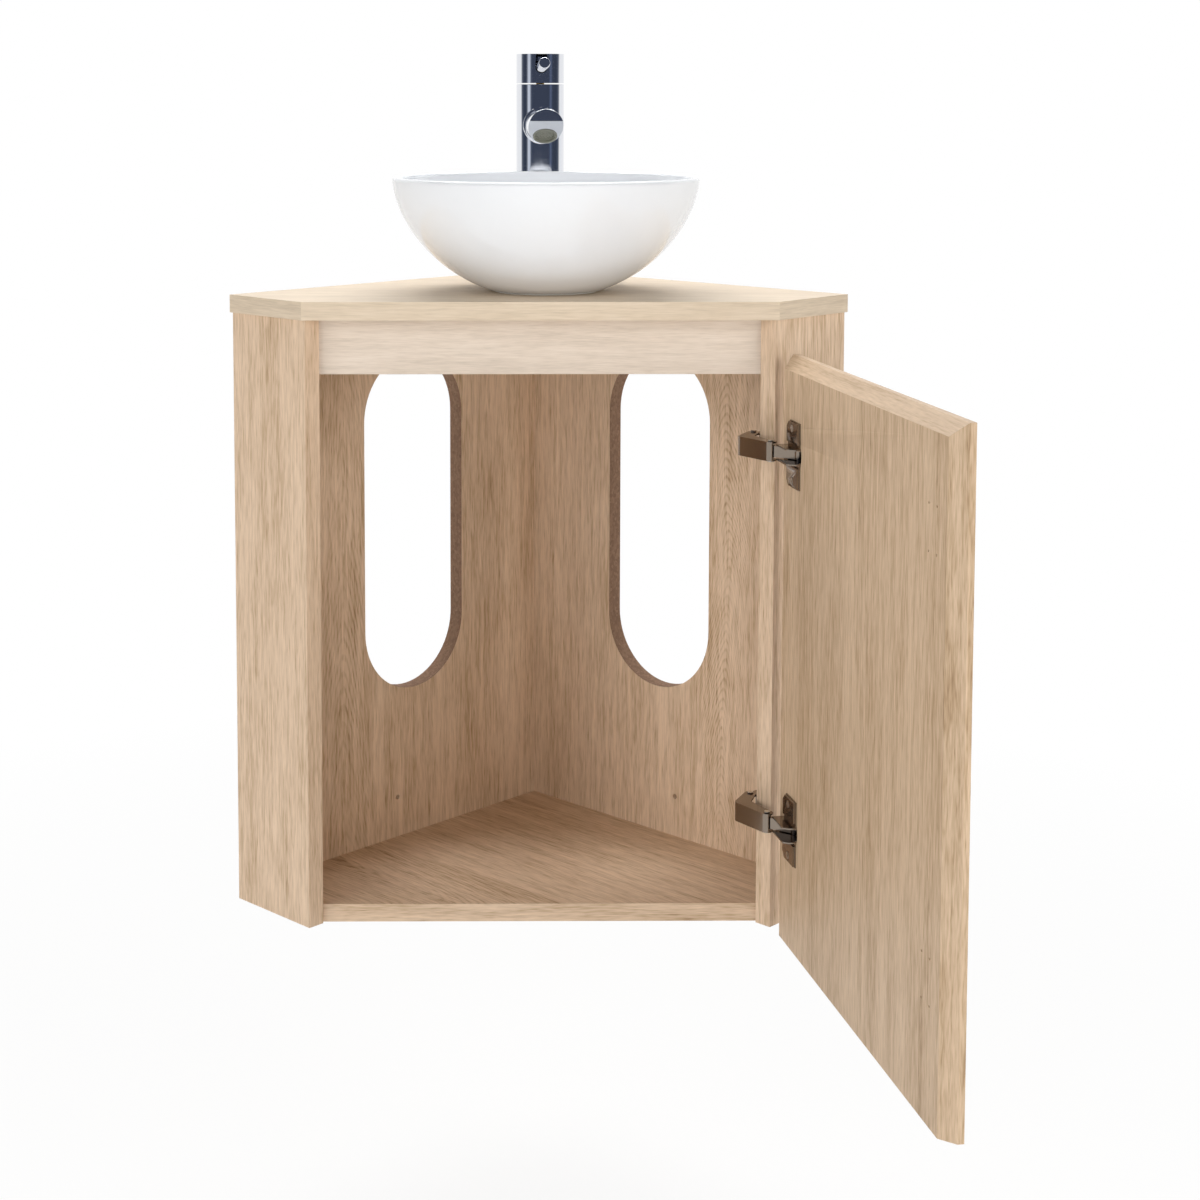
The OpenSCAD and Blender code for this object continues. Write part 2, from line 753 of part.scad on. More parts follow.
// The steps are closer where the side turns fastest, near the foot
function side_z(step, low) = low + (basin_h - basin_wall/2 - low)*pow(step/rim_steps, 1.6);

module basin() color("white") at_basin() difference() {
    outside = [for (i = [0:rim_steps]) let (z = side_z(i, seal_t)) [side_r(z), z]];
    inside = [for (i = [rim_steps:-1:0]) let (z = side_z(i, floor_z)) [inside_r(z), z]];
    rim_z = basin_h - basin_wall/2;
    rim_mid = (side_r(rim_z) + inside_r(rim_z))/2;
    rim_half = (side_r(rim_z) - inside_r(rim_z))/2;
    rim = [for (angle = [15:15:165]) [rim_mid + rim_half*cos(angle), rim_z + basin_wall/2*sin(angle)]];
    rotate_extrude($fn = 160) polygon(concat([[0, seal_t]], outside, rim, inside, [[0, floor_z]]));
    translate([0, 0, -past]) cylinder(h = basin_h, d = waste_d + 3);
    translate([0, 0, floor_z - flange_t]) cylinder(h = basin_h, d = waste_flange_d + 1);
    translate([0, 0, -past]) difference() {
        cylinder(h = past + seal_t + foot_recess, r = foot_r - foot_ring_w);
        translate([0, 0, -past]) cylinder(h = basin_h, d = waste_d + 14);
    }
}

// Ring of sealant between the basin's foot and the worktop
module basin_seal() color("whitesmoke") at_basin() difference() {
    cylinder(h = seal_t, r = foot_r - 1);
    translate([0, 0, -past]) cylinder(h = 2*past + seal_t, r = foot_r - foot_ring_w + 1);
}

waste_bore_d = waste_outlet_d - 4;
spoke_l = (waste_bore_d + waste_d)/2;
guide_r = 6;
stem_r = 3.5;
guide_z = -6;
guide_h = 12;

// Flange, tail and the spoked guide of the plug in one casting
module waste_body() color(chrome) at_basin() {
    difference() {
        union() {
            translate([0, 0, floor_z - flange_t]) cylinder(h = flange_t, d = waste_flange_d);
            translate([0, 0, waste_outlet_l - waste_tail_l])
                cylinder(h = waste_tail_l - waste_outlet_l + floor_z - 1, d = waste_d);
            translate([0, 0, -waste_tail_l]) cylinder(h = waste_tail_l, d = waste_outlet_d);
        }
        translate([0, 0, -waste_tail_l - past]) cylinder(h = waste_tail_l + 2*floor_z, d = waste_bore_d);
    }
    difference() {
        union() {
            translate([0, 0, guide_z]) cylinder(h = guide_h, r = guide_r);
            for (turn = [0, 60, 120]) rotate([0, 0, turn]) translate([-spoke_l/2, -1, guide_z])
                cube([spoke_l, 2, guide_h/2]);
        }
        translate([0, 0, guide_z - past]) cylinder(h = guide_h + 2*past, r = stem_r + fit);
    }
}

washer_t = 3;
nut_t = 10;
nut_w = 60;

// Rubber washer between the worktop and the nut
module waste_washer() color("dimgray") at_basin() translate([0, 0, -worktop_t - washer_t]) difference() {
    cylinder(h = washer_t, d = nut_w);
    translate([0, 0, -past]) cylinder(h = washer_t + 2*past, d = waste_d + 2*fit);
}

module waste_nut() color(chrome) at_basin() difference() {
    translate([0, 0, -worktop_t - washer_t - nut_t]) cylinder(h = nut_t, d = nut_w, $fn = 6);
    translate([0, 0, -worktop_t - washer_t - nut_t - past])
        cylinder(h = nut_t + 2*past, d = waste_d + 2*fit);
}

// The plug's cap is a low dome on a stem, and rests on the flange while the basin is closed
module waste_plug() color(chrome) at_basin() {
    cap_r = waste_flange_d/2 - 1;
    dome_h = 4;
    dome_steps = 12;
    stem_low = guide_z - plug_travel - 2;
    dome = [for (i = [0:dome_steps - 1]) let (angle = 90*i/dome_steps)
        [cap_r*cos(angle), 1 + dome_h*sin(angle)]];
    translate([0, 0, floor_z]) rotate_extrude()
        polygon(concat([[0, 0], [cap_r, 0]], dome, [[0, 1 + dome_h]]));
    translate([0, 0, stem_low]) cylinder(h = floor_z + 1 - stem_low, r = stem_r);
}

// ---- Tap -----------------------------------------------------------------------------------
tap_r = tap_d/2;
tap_y = front_y + tap_back;
body_top = tap_h - cap_h - cap_gap;
tap_seal_t = 1.5;
tap_wall = 3;
cartridge_r = 17.5;
cartridge_h = 34;
base_t = 14;
shelf_t = 6;
chamber_top = spout_z - spout_d/2 - shelf_t;
nut_ring_h = 3;
cartridge_z = body_top - cartridge_h - nut_ring_h;
spindle_r = 4;
spindle_in = 13;
stud_d = 8;
stud_below = 70;
spout_r = spout_d/2;
waterway_r = 9;
outlet_back = sin(outlet_angle);
outlet_down = cos(outlet_angle);
outlet_l = (outlet_above + spout_r)/outlet_down;

// The tap's frame: origin on the worktop, and its spout points to -Y
module at_tap() {
    translate([tap_x, tap_y, worktop_z]) rotate([0, 0, tap_turn]) children();
}

// The frame of the slanted outlet face: origin at its upper edge, +Z out of the face
module at_outlet() {
    translate([0, -spout_reach, spout_z + outlet_above]) rotate([90 + outlet_angle, 0, 0]) children();
}

module spout() {
    difference() {
        translate([0, 0, spout_z]) rotate([90, 0, 0]) cylinder(h = spout_reach, r = spout_r);
        at_outlet() translate([-spout_d, -2*spout_d, 0]) cube([2*spout_d, 4*spout_d, 2*spout_d]);
    }
    translate([0, -tap_r + 4, spout_z]) rotate([90, 0, 0]) cylinder(h = 6, r = spout_r + 1.4);
}

inlet_d = 7;
inlet_x = 4.2;
inlet_front = 11.4;
aerator_at = 0.66*outlet_l;
aerator_depth = 9;
// The waterway ends at the middle of the bore for the aerator
waterway_l = spout_reach - aerator_at*outlet_back - aerator_depth*outlet_down;

module tap_body() color(chrome) at_tap() difference() {
    union() {
        translate([0, 0, tap_seal_t]) cylinder(h = body_top - tap_seal_t, r = tap_r);
        spout();
    }
    // Bore for the cartridge, and the hollow column below the mixing chamber
    translate([0, 0, cartridge_z]) cylinder(h = tap_h, r = cartridge_r + fit);
    translate([0, 0, base_t]) cylinder(h = chamber_top - base_t, r = tap_r - tap_wall);
    // The waterway runs from under the cartridge along the spout to the aerator
    translate([0, 0, spout_z]) rotate([90, 0, 0]) cylinder(h = waterway_l, r = waterway_r);
    translate([0, 0, spout_z]) cylinder(h = tap_h, r = waterway_r);
    at_outlet() translate([0, -aerator_at, -aerator_depth])
        cylinder(h = 2*aerator_depth, d = aerator_d + 2*fit);
    // Thread for the stud, and in front of it the two inlets
    translate([0, 0, tap_seal_t - past]) cylinder(h = base_t, d = stud_d + 2*fit);
    for (side = [-1, 1]) translate([side*inlet_x, -inlet_front, 0]) cylinder(h = base_t + past, d = inlet_d);
}

// The aerator's rim and its strainer, whose holes lie in rings
module tap_aerator() color("darkkhaki") at_tap() at_outlet() translate([0, -aerator_at, 0]) difference() {
    translate([0, 0, -aerator_depth + fit]) cylinder(h = aerator_depth + 0.8, d = aerator_d);
    translate([0, 0, -1.2]) cylinder(h = aerator_depth, d = aerator_d - 3.6);
    translate([0, 0, -2*aerator_depth]) cylinder(h = 2*aerator_depth - 3, d = aerator_d - 6);
    for (ring = [1:3], i = [1:6*ring]) rotate([0, 0, 60*i/ring])
        translate([2.6*ring, 0, -aerator_depth]) cylinder(h = 2*aerator_depth, d = 1.3, $fn = 16);
}

module tap_cartridge() color("white") at_tap() difference() {
    union() {
        translate([0, 0, cartridge_z]) cylinder(h = cartridge_h, r = cartridge_r);
        translate([0, 0, cartridge_z + cartridge_h]) cylinder(h = 3, r = cartridge_r - 5);
    }
    translate([0, 0, body_top - spindle_in - past]) cylinder(h = tap_h, r = spindle_r + fit);
    for (side = [-1, 1]) translate([side*8, 0, cartridge_z - past]) cylinder(h = 12, d = 6);
}

// Screwed down on the cartridge; its collar shows in the groove below the cap
module cartridge_nut() color(chrome) at_tap() translate([0, 0, cartridge_z + cartridge_h]) difference() {
    cylinder(h = nut_ring_h, r = cartridge_r);
    translate([0, 0, -past]) cylinder(h = nut_ring_h + 2*past, r = cartridge_r - 5 + fit);
}

module tap_seal() color("dimgray") at_tap() difference() {
    cylinder(h = tap_seal_t, r = tap_r - 0.5);
    translate([0, 0, -past]) cylinder(h = tap_seal_t + 2*past, d = tap_hole_d);
}

module tap_stud() color("gray") at_tap() translate([0, 0, -stud_below])
    cylinder(h = stud_below + tap_seal_t + 12, d = stud_d);

tap_washer_t = 2.5;
horseshoe_front = 21;
tap_nut_t = 7;
tap_nut_w = 15;

// Horseshoe washers under the worktop, rubber above steel, open at the front for the hoses
module tap_washers() color("gray") at_tap() {
    for (layer = [1, 2]) translate([0, 0, -worktop_t - layer*tap_washer_t]) difference() {
        cylinder(h = tap_washer_t, d = tap_hole_d + 7);
        translate([0, 0, -past]) cylinder(h = tap_washer_t + 2*past, d = stud_d + 1);
        translate([0, -horseshoe_front, -past])
            cylinder(h = tap_washer_t + 2*past, r = horseshoe_front - stud_d/2 - 2.4);
    }
}

module tap_nut() color("gray") at_tap() translate([0, 0, -worktop_t - 2*tap_washer_t - tap_nut_t])
    difference() {
        cylinder(h = tap_nut_t, d = tap_nut_w, $fn = 6);
        translate([0, 0, -past]) cylinder(h = tap_nut_t + 2*past, d = stud_d + 2*fit);
    }

// The cap turns on the spindle and holds the pivot of the lever, which lifts in a slot in its side
cap_wall = 2.5;
cap_floor_t = 3;
cap_z = body_top + cap_gap;
pivot_z = cap_z + cap_h/2;
pivot_pin_r = 2;
hub_r = 7.5;
hub_w = 14;
lug_w = 5;
slot_gap = 0.5;

module tap_cap() color(chrome) at_tap() difference() {
    translate([0, 0, cap_z]) cylinder(h = cap_h, r = tap_r);
    difference() {
        translate([0, 0, cap_z + cap_floor_t])
            cylinder(h = cap_h - cap_floor_t - cap_wall, r = tap_r - cap_wall);
        for (side = [-1, 1]) translate([side*(hub_w/2 + slip + lug_w/2), 0, cap_z + cap_h/2])
            cube([lug_w, 2*hub_r, 2*cap_h], center = true);
    }
    translate([0, 0, cap_z - past]) cylinder(h = cap_floor_t + 2*past, r = spindle_r + fit);
    translate([0, 0, pivot_z]) rotate([0, 90, 0])
        cylinder(h = hub_w + 2*lug_w + 2, r = pivot_pin_r + fit, center = true);
    for (lift = [0, lever_lift]) lever_at(lift)
        translate([0, 0, tap_r/2]) cylinder(h = tap_r, r = lever_d/2 + slot_gap);
    lever_slot();
}

// A frame whose +Z runs along the lever, lifted by a given angle
module lever_at(lift) {
    translate([0, 0, pivot_z]) rotate([90 - lever_slope - lift, 0, 0]) children();
}

// The part of the cap's slot between its two round ends: the wedge that the lever's middle sweeps
module lever_slot() {
    side_cover = 0.05;
    slot_w = lever_d + 2*slot_gap - 2*side_cover;
    start = tap_r/2;
    far = 2*tap_r;
    level = direction(180 - lever_slope);
    lifted = direction(180 - lever_slope - lever_lift);
    translate([0, 0, pivot_z]) rotate([90, 0, 90]) linear_extrude(slot_w, center = true)
        polygon([start*level, far*level, far*lifted, start*lifted]);
}

module tap_spindle() color("gold") at_tap()
    translate([0, 0, body_top - spindle_in])
        cylinder(h = spindle_in + cap_gap + cap_floor_t, r = spindle_r);

module lever_pivot_pin() color("gray") at_tap() translate([0, 0, pivot_z]) rotate([0, 90, 0])
    cylinder(h = hub_w + 2*lug_w, r = pivot_pin_r, center = true);

module tap_lever() color(chrome) at_tap() difference() {
    union() {
        lever_at(0) cylinder(h = lever_l - 1, r = lever_d/2);
        lever_at(0) translate([0, 0, lever_l - 1])
            cylinder(h = 1, r1 = lever_d/2, r2 = lever_d/2 - 1, $fn = 48);
        translate([0, 0, pivot_z]) rotate([0, 90, 0]) cylinder(h = hub_w, r = hub_r, center = true);
    }
    translate([0, 0, pivot_z]) rotate([0, 90, 0])
        cylinder(h = 2*hub_w, r = pivot_pin_r + fit, center = true);
}

left_wall_panel();
right_wall_panel();
left_return();
right_return();
bottom_panel();
top_rail();
worktop();
assembly_dowels();
cam_locks();
cam_bolts();
hinge_plates();
upper_hinge_arm();
lower_hinge_arm();
hinge_plate_screws();
hinge_arm_screws();
hinge_arm_pins();
door_panel();
upper_hinge_cup();
lower_hinge_cup();
hinge_cup_screws();
hinge_cup_pins();
upper_outer_link();
lower_outer_link();
upper_link_rivet();
lower_link_rivet();
upper_inner_link();
lower_inner_link();
basin();
basin_seal();
waste_body();
waste_washer();
waste_nut();
waste_plug();
tap_body();
tap_aerator();
tap_cartridge();
cartridge_nut();
tap_seal();
tap_stud();
tap_washers();
tap_nut();
tap_cap();
tap_spindle();
lever_pivot_pin();
tap_lever();
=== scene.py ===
# %% [markdown]
# # A corner vanity unit
# The object is a small wall-hung cabinet for the corner of a room, with one door that stands open on
# two concealed hinges, a round basin on its worktop and a tall tap with a single lever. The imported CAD
# model gives every dimension, so this script only adds what the eye looks for: soft edges, wood print,
# glaze, polished metal, light and a camera.

# %% Load the CAD model as a fixed frame
import json
import math
import bmesh
import bpy
import numpy as np
from mathutils import Matrix, Vector


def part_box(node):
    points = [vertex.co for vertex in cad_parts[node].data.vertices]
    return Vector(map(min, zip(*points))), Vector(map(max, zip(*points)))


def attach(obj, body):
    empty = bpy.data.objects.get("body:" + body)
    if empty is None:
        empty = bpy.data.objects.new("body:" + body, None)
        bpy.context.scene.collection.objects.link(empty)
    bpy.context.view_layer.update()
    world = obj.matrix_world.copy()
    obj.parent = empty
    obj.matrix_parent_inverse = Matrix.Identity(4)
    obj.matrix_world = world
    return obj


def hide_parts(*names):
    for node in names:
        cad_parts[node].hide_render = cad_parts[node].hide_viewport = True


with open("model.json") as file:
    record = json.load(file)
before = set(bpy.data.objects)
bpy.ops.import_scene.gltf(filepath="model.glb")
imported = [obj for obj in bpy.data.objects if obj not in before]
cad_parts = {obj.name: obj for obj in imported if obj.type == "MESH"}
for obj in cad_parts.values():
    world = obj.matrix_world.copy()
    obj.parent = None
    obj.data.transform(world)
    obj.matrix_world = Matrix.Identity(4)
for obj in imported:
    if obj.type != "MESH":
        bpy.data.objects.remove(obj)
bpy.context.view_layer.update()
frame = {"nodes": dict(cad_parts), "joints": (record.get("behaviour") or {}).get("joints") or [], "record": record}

nodes = frame["nodes"]
body_of = {n: body for body, members in frame["record"]["behaviour"]["bodies"].items() for n in members}

# %% [markdown]
# ## Small tools for colours and shader nodes
# Colours are written as sRGB hex values, as a paint chart gives them, and one function turns them into
# the linear values that Blender mixes. One more function adds a shader node with its settings and links,
# so each material below reads as a list of what feeds what.

# %% Colour and node helpers
MM = 0.001


def colour(hex_value):
    """sRGB hex to linear RGBA: c/12.92 below 0.04045, else ((c + 0.055)/1.055) to the power 2.4."""
    c = np.array([int(hex_value[i:i + 2], 16) for i in (0, 2, 4)])/255
    linear = np.where(c <= 0.04045, c/12.92, ((c + 0.055)/1.055)**2.4)
    return (*linear.tolist(), 1.0)


def add(tree, kind, inputs=None, **settings):
    """Adds a node. inputs maps socket names or numbers to values or to sockets that feed them."""
    n = tree.nodes.new("ShaderNode" + kind)
    for key, value in settings.items():
        setattr(n, key, value)
    for key, value in (inputs or {}).items():
        if isinstance(value, bpy.types.NodeSocket):
            tree.links.new(value, n.inputs[key])
        else:
            n.inputs[key].default_value = value
    return n


def ramp(tree, factor, stops):
    """Adds a colour ramp with stops given as (position, hex colour)."""
    n = add(tree, "ValToRGB", {"Fac": factor})
    while len(n.color_ramp.elements) < len(stops):
        n.color_ramp.elements.new(1.0)
    for element, (position, hex_value) in zip(n.color_ramp.elements, stops):
        element.position = position
        element.color = colour(hex_value)
    return n.outputs["Color"]


def new_material(name):
    """An empty material, its node tree, its shader and the object's own coordinates in metres."""
    material = bpy.data.materials.new(name)
    material.use_nodes = True
    tree = material.node_tree
    tree.nodes.clear()
    shader = add(tree, "BsdfPrincipled")
    add(tree, "OutputMaterial", {"Surface": shader.outputs["BSDF"]})
    return material, tree, shader, add(tree, "TexCoord").outputs["Object"]


# %% [markdown]
# ## Printed oak board
# The boards are particleboard with melamine paper printed as light oak. Most of the print is streaks along
# the grain, and each size of streak, from one millimetre to five centimetres wide, is about as strong as the
# others. A plain-sawn board cuts the rings of its log at a small angle, so its middle also shows nested
# pointed arches. Contours of F = z/s + a sqrt(x^2 + w^2)/s have that shape: arches at distance s along the
# grain near x = 0, and lines s/a apart further out, where they fade. All of it is worked out from the board's
# own coordinates, so the print is the same from every side.


# %% Helper: how a print lies on its board
def laid(grain, across):
    """Rotation whose rows are across, grain x across and grain: it turns a place on the board into
    (across the grain, through the board, along the grain)."""
    grain, across = Vector(grain).normalized(), Vector(across).normalized()
    return Matrix((across, grain.cross(across), grain)).to_euler("XYZ")


# %% Material: printed oak
TONES = ("e7ccb0", "d8bda1", "c0a383", "967656")
# The rail's tones are paler than the board's own: painted light, making up for the shade that the overhanging worktop
# casts on the recessed rail.
RAIL_TONES_PAINTED_LIGHT = ("eaddcf", "dfd0c0", "ccbdad", "a39484")
WORKTOP_TONES = ("e8d7c2", "dac8b0", "c4b29b", "9c8a73")
# The door's tones are darker than the board's own: painted shade for the inner face of the open door, which faces away
# from the lamps.
DOOR_TONES_PAINTED_SHADE = ("dcc1a3", "cdb294", "b59877", "8b6b4c")
STREAKS = ((1100, 80, 0.6), (560, 34, 0.62), (230, 12, 0.5), (80, 5, 0.42), (18, 1.6, 0.38))


def oak_print(name, grain, across, arch_at=1.0, arch_mm=16.0, steep=6.0, width_mm=10.0, fade_mm=50.0, tones=TONES,
              seed=0.0, strength=1.0):
    """arch_at is the middle of the arches across the board, in metres from the origin, arch_mm their distance
    along the grain (s), steep is a, width_mm is w, fade_mm is where the rings have faded, and seed moves the
    noises. strength is how much the streaks and rings stand out."""
    material, tree, shader, place = new_material("oak print, " + name)
    board = add(tree, "Mapping", {"Vector": place, "Rotation": laid(grain, across)}).outputs[0]
    moved = add(tree, "VectorMath", {0: board, 1: (seed, 2*seed, 3*seed)}, operation="ADD").outputs[0]

    def noise(across_scale, along_scale, detail=1.0, rough=0.5):
        """A noise whose features are 1/across_scale metres wide and 1/along_scale metres long."""
        stretched = add(tree, "Mapping", {"Vector": moved, "Scale": (across_scale, across_scale, along_scale)})
        return add(tree, "TexNoise", {"Vector": stretched.outputs[0], "Scale": 1.0, "Detail": detail,
                                      "Roughness": rough}).outputs["Fac"]

    def scaled(factor, by, plus):
        return add(tree, "Math", {0: factor, 1: by, 2: plus}, operation="MULTIPLY_ADD").outputs[0]

    # The grain wanders sideways by some millimetres
    x, through, z = add(tree, "SeparateXYZ", {0: board}).outputs
    x = scaled(noise(6, 3.2, 2.0), 0.04, x)
    x = add(tree, "Math", {0: through, 1: x}, operation="ADD").outputs[0]
    x = add(tree, "Math", {0: x, 1: arch_at + 0.02}, operation="SUBTRACT").outputs[0]
    pair = add(tree, "CombineXYZ", {"X": x, "Y": width_mm*MM}).outputs[0]
    reach = add(tree, "VectorMath", {0: pair}, operation="LENGTH").outputs["Value"]
    # F, made jagged by a fine noise and uneven by a slow one
    rings = add(tree, "Math", {0: z, 1: 1/(arch_mm*MM)}, operation="MULTIPLY").outputs[0]
    rings = scaled(reach, steep/(arch_mm*MM), rings)
    rings = scaled(noise(300, 40, 3.0, 0.6), 0.5, rings)
    rings = scaled(noise(30, 5, 2.0), 3.5, rings)
    phase = add(tree, "Math", {0: rings}, operation="FRACT").outputs[0]
    row = add(tree, "FloatCurve", {"Value": phase})
    for spot in ((0.5, 0.1), (0.8, 1.0)):
        row.mapping.curves[0].points.new(*spot)
    row.mapping.curves[0].points[0].location = (0.0, 0.05)
    row.mapping.curves[0].points[-1].location = (1.0, 0.05)
    row.mapping.update()
    # Rings fade away from the arches, and stand out more in some places than in others
    near = add(tree, "MapRange", {"Value": reach, "From Min": 0.3*fade_mm*MM, "From Max": fade_mm*MM, "To Min": 1.0,
                                  "To Max": 0.12}, interpolation_type="SMOOTHSTEP").outputs["Result"]
    stand = add(tree, "MapRange", {"Value": noise(24, 7), "From Min": 0.35, "From Max": 0.65, "To Min": 0.3})
    near = add(tree, "Math", {0: near, 1: stand.outputs["Result"]}, operation="MULTIPLY").outputs[0]
    row = add(tree, "Math", {0: row.outputs[0], 1: near}, operation="MULTIPLY").outputs[0]
    # Pores 0.6 mm wide and 12 mm long, wider than real ones so that they show, crowded in the rings
    pores = add(tree, "MapRange", {"Value": noise(1700, 80), "From Min": 0.52, "From Max": 0.78}).outputs["Result"]
    pores = add(tree, "Math", {0: pores, 1: scaled(row, 0.9, 0.45)}, operation="MULTIPLY").outputs[0]
    # Streaks, rings and pores add up to one value, and a ramp gives it colour
    value = scaled(row, 0.18*strength, 0.5 - strength*sum(share for _, _, share in STREAKS)/2)
    value = scaled(pores, 0.32*strength, value)
    for across_scale, along_scale, share in STREAKS:
        value = scaled(noise(across_scale, along_scale), share*strength, value)
    shade = ramp(tree, value, list(zip((0.25, 0.5, 0.75, 1.0), tones)))
    relief = add(tree, "Bump", {"Height": pores, "Strength": 0.3, "Distance": 0.00005}, invert=True).outputs["Normal"]
    tree.links.new(shade, shader.inputs["Base Color"])
    tree.links.new(relief, shader.inputs["Normal"])
    shader.inputs["Roughness"].default_value = 0.55
    return material


# %% [markdown]
# Each board gets its own print, laid along its own grain: upright on the sides and the door, level on the
# rail and the worktop, and along the right wall on the bottom panel. The ends of the grain are covered by
# an edge band whose grain runs along the edge, so each board gets a second print for them.

# %% Prints of the boards
UP, X, Y = (0, 0, 1), (1, 0, 0), (0, 1, 0)
RIGHT, LEFT = (1, -1, 0), (-1, -1, 0)
OUT_RIGHT, OUT_LEFT = (1, 1, 0), (-1, 1, 0)
door_joint = next(j for j in frame["joints"] if j["name"] == "door_hinge")
opened = math.radians(-door_joint["range_deg"][0])
DOOR = (-math.cos(opened), -math.sin(opened), 0)

prints = {
    "left_wall_panel": oak_print("left wall", UP, LEFT, 0.287, 17, 5, 9, 45, seed=0.13),
    "right_wall_panel": oak_print("right wall", UP, RIGHT, 0.252, 9, 3.4, 5, 42, seed=0.71),
    "left_return": oak_print("left return", UP, OUT_LEFT, seed=1.3),
    "right_return": oak_print("right return", UP, OUT_RIGHT, seed=2.1),
    # the rail gets the paler tones: painted light under the worktop's overhang
    "top_rail": oak_print("rail", X, UP, seed=3.4, tones=RAIL_TONES_PAINTED_LIGHT, strength=0.55),
    "worktop": oak_print("worktop", X, Y, -0.2, 30, 10, 8, 70, seed=4.2, tones=WORKTOP_TONES, strength=0.5),
    "bottom_panel": oak_print("bottom", RIGHT, OUT_RIGHT, -0.27, 22, 6, 9, 70, seed=5.5),
    # the door gets the darker tones: painted shade on its inner face
    "door_panel": oak_print("door", UP, DOOR, 0.33, 26, 8, 8, 60, seed=6.8, tones=DOOR_TONES_PAINTED_SHADE),
}
bands = {
    "left_wall_panel": oak_print("left wall band", LEFT, UP, seed=0.4),
    "right_wall_panel": oak_print("right wall band", RIGHT, UP, seed=0.5),
    "left_return": oak_print("left return band", OUT_LEFT, UP, seed=0.6),
    "right_return": oak_print("right return band", OUT_RIGHT, UP, seed=0.7),
    # the door's edge band gets the same darker tones: painted shade
    "door_panel": oak_print("door band", DOOR, UP, seed=0.9, tones=DOOR_TONES_PAINTED_SHADE, strength=0.7),
    "worktop": oak_print("worktop band, left", OUT_LEFT, UP, seed=1.1, tones=WORKTOP_TONES, strength=0.5),
    "worktop_right": oak_print("worktop band, right", OUT_RIGHT, UP, seed=1.2, tones=WORKTOP_TONES, strength=0.5),
    "bottom_panel": oak_print("bottom band", X, UP, seed=1.5),
}
print("board prints:", len(prints), "edge bands:", len(bands))


# %% [markdown]
# ## Sawn particleboard
# Where the pipe cut-outs are sawn through the board, no edge band covers the core. It is pressed wood chips:
# brown, dull and rough, with flecks one to three millimetres long.

# %% Material: sawn particleboard
def sawn_board(name):
    """Flecks from a cell pattern 2 mm wide, and a coarse bump from the same flecks."""
    material, tree, shader, place = new_material(name)
    size = add(tree, "Mapping", {"Vector": place, "Scale": (500, 500, 350)}).outputs[0]
    flecks = add(tree, "TexVoronoi", {"Vector": size, "Scale": 1.0, "Randomness": 1.0}).outputs["Color"]
    grey = add(tree, "RGBToBW", {0: flecks}).outputs[0]
    shade = ramp(tree, grey, [(0.0, "7c604d"), (0.5, "8a6d58"), (1.0, "997b64")])
    relief = add(tree, "Bump", {"Height": grey, "Strength": 0.5, "Distance": 0.0002}).outputs["Normal"]
    tree.links.new(shade, shader.inputs["Base Color"])
    tree.links.new(relief, shader.inputs["Normal"])
    shader.inputs["Roughness"].default_value = 0.9
    return material


raw_board = sawn_board("sawn particleboard")
print("material:", raw_board.name)


# %% [markdown]
# ## Metals, glaze and plastics
# Polished chrome plate is nearly a mirror, so its look comes from what it reflects. Nickel plate on pressed
# steel is warmer and a little dull. Both get faint marks that only change their gloss. The basin is glazed
# ceramic: white, very smooth, with a slow unevenness of the glaze.

# %% Materials: metals
def metal(name, hex_value, roughness, marks=0.08, scratch_mm=0.6):
    """A metal whose roughness varies by marks, in a noise whose features are scratch_mm wide."""
    material, tree, shader, place = new_material(name)
    size = add(tree, "Mapping", {"Vector": place, "Scale": [1/(scratch_mm*MM)]*3}).outputs[0]
    noise = add(tree, "TexNoise", {"Vector": size, "Scale": 0.25, "Detail": 4.0}).outputs["Fac"]
    rough = add(tree, "MapRange", {"Value": noise, "From Min": 0.3, "From Max": 0.7,
                                   "To Min": roughness, "To Max": roughness + marks}).outputs["Result"]
    value = add(tree, "MapRange", {"Value": noise, "To Min": 0.98, "To Max": 1.02}).outputs["Result"]
    tint = add(tree, "HueSaturation", {"Color": colour(hex_value), "Value": value})
    tree.links.new(tint.outputs["Color"], shader.inputs["Base Color"])
    tree.links.new(rough, shader.inputs["Roughness"])
    shader.inputs["Metallic"].default_value = 1.0
    return material


chrome = metal("polished chrome plate", "e3e5ea", 0.07, 0.03, 0.8)
nickel = metal("nickel-plated pressed steel", "8d8175", 0.16, 0.04)
nickel_screw = metal("nickel-plated screw steel", "cfc8be", 0.24, 0.15)
zinc = metal("zinc die casting", "b8bbbe", 0.38, 0.2)
brass = metal("turned brass", "c8a35c", 0.28, 0.15)
print("metals:", ", ".join(m.name for m in (chrome, nickel, nickel_screw, zinc, brass)))


# %% Materials: glaze, plastics, rubber and dowel wood
def moulded(name, hex_value, roughness, grain_mm=0.4, depth_mm=0.01, variation=0.04):
    """A dull or glossy solid: its tone varies slightly, and a fine bump has features grain_mm wide."""
    material, tree, shader, place = new_material(name)
    size = add(tree, "Mapping", {"Vector": place, "Scale": [1/(grain_mm*MM)]*3}).outputs[0]
    noise = add(tree, "TexNoise", {"Vector": size, "Scale": 0.5, "Detail": 3.0}).outputs["Fac"]
    value = add(tree, "MapRange", {"Value": noise, "To Min": 1 - variation, "To Max": 1 + variation}).outputs["Result"]
    tint = add(tree, "HueSaturation", {"Color": colour(hex_value), "Value": value})
    relief = add(tree, "Bump", {"Height": noise, "Strength": 0.4, "Distance": depth_mm*MM}).outputs["Normal"]
    tree.links.new(tint.outputs["Color"], shader.inputs["Base Color"])
    tree.links.new(relief, shader.inputs["Normal"])
    shader.inputs["Roughness"].default_value = roughness
    return material


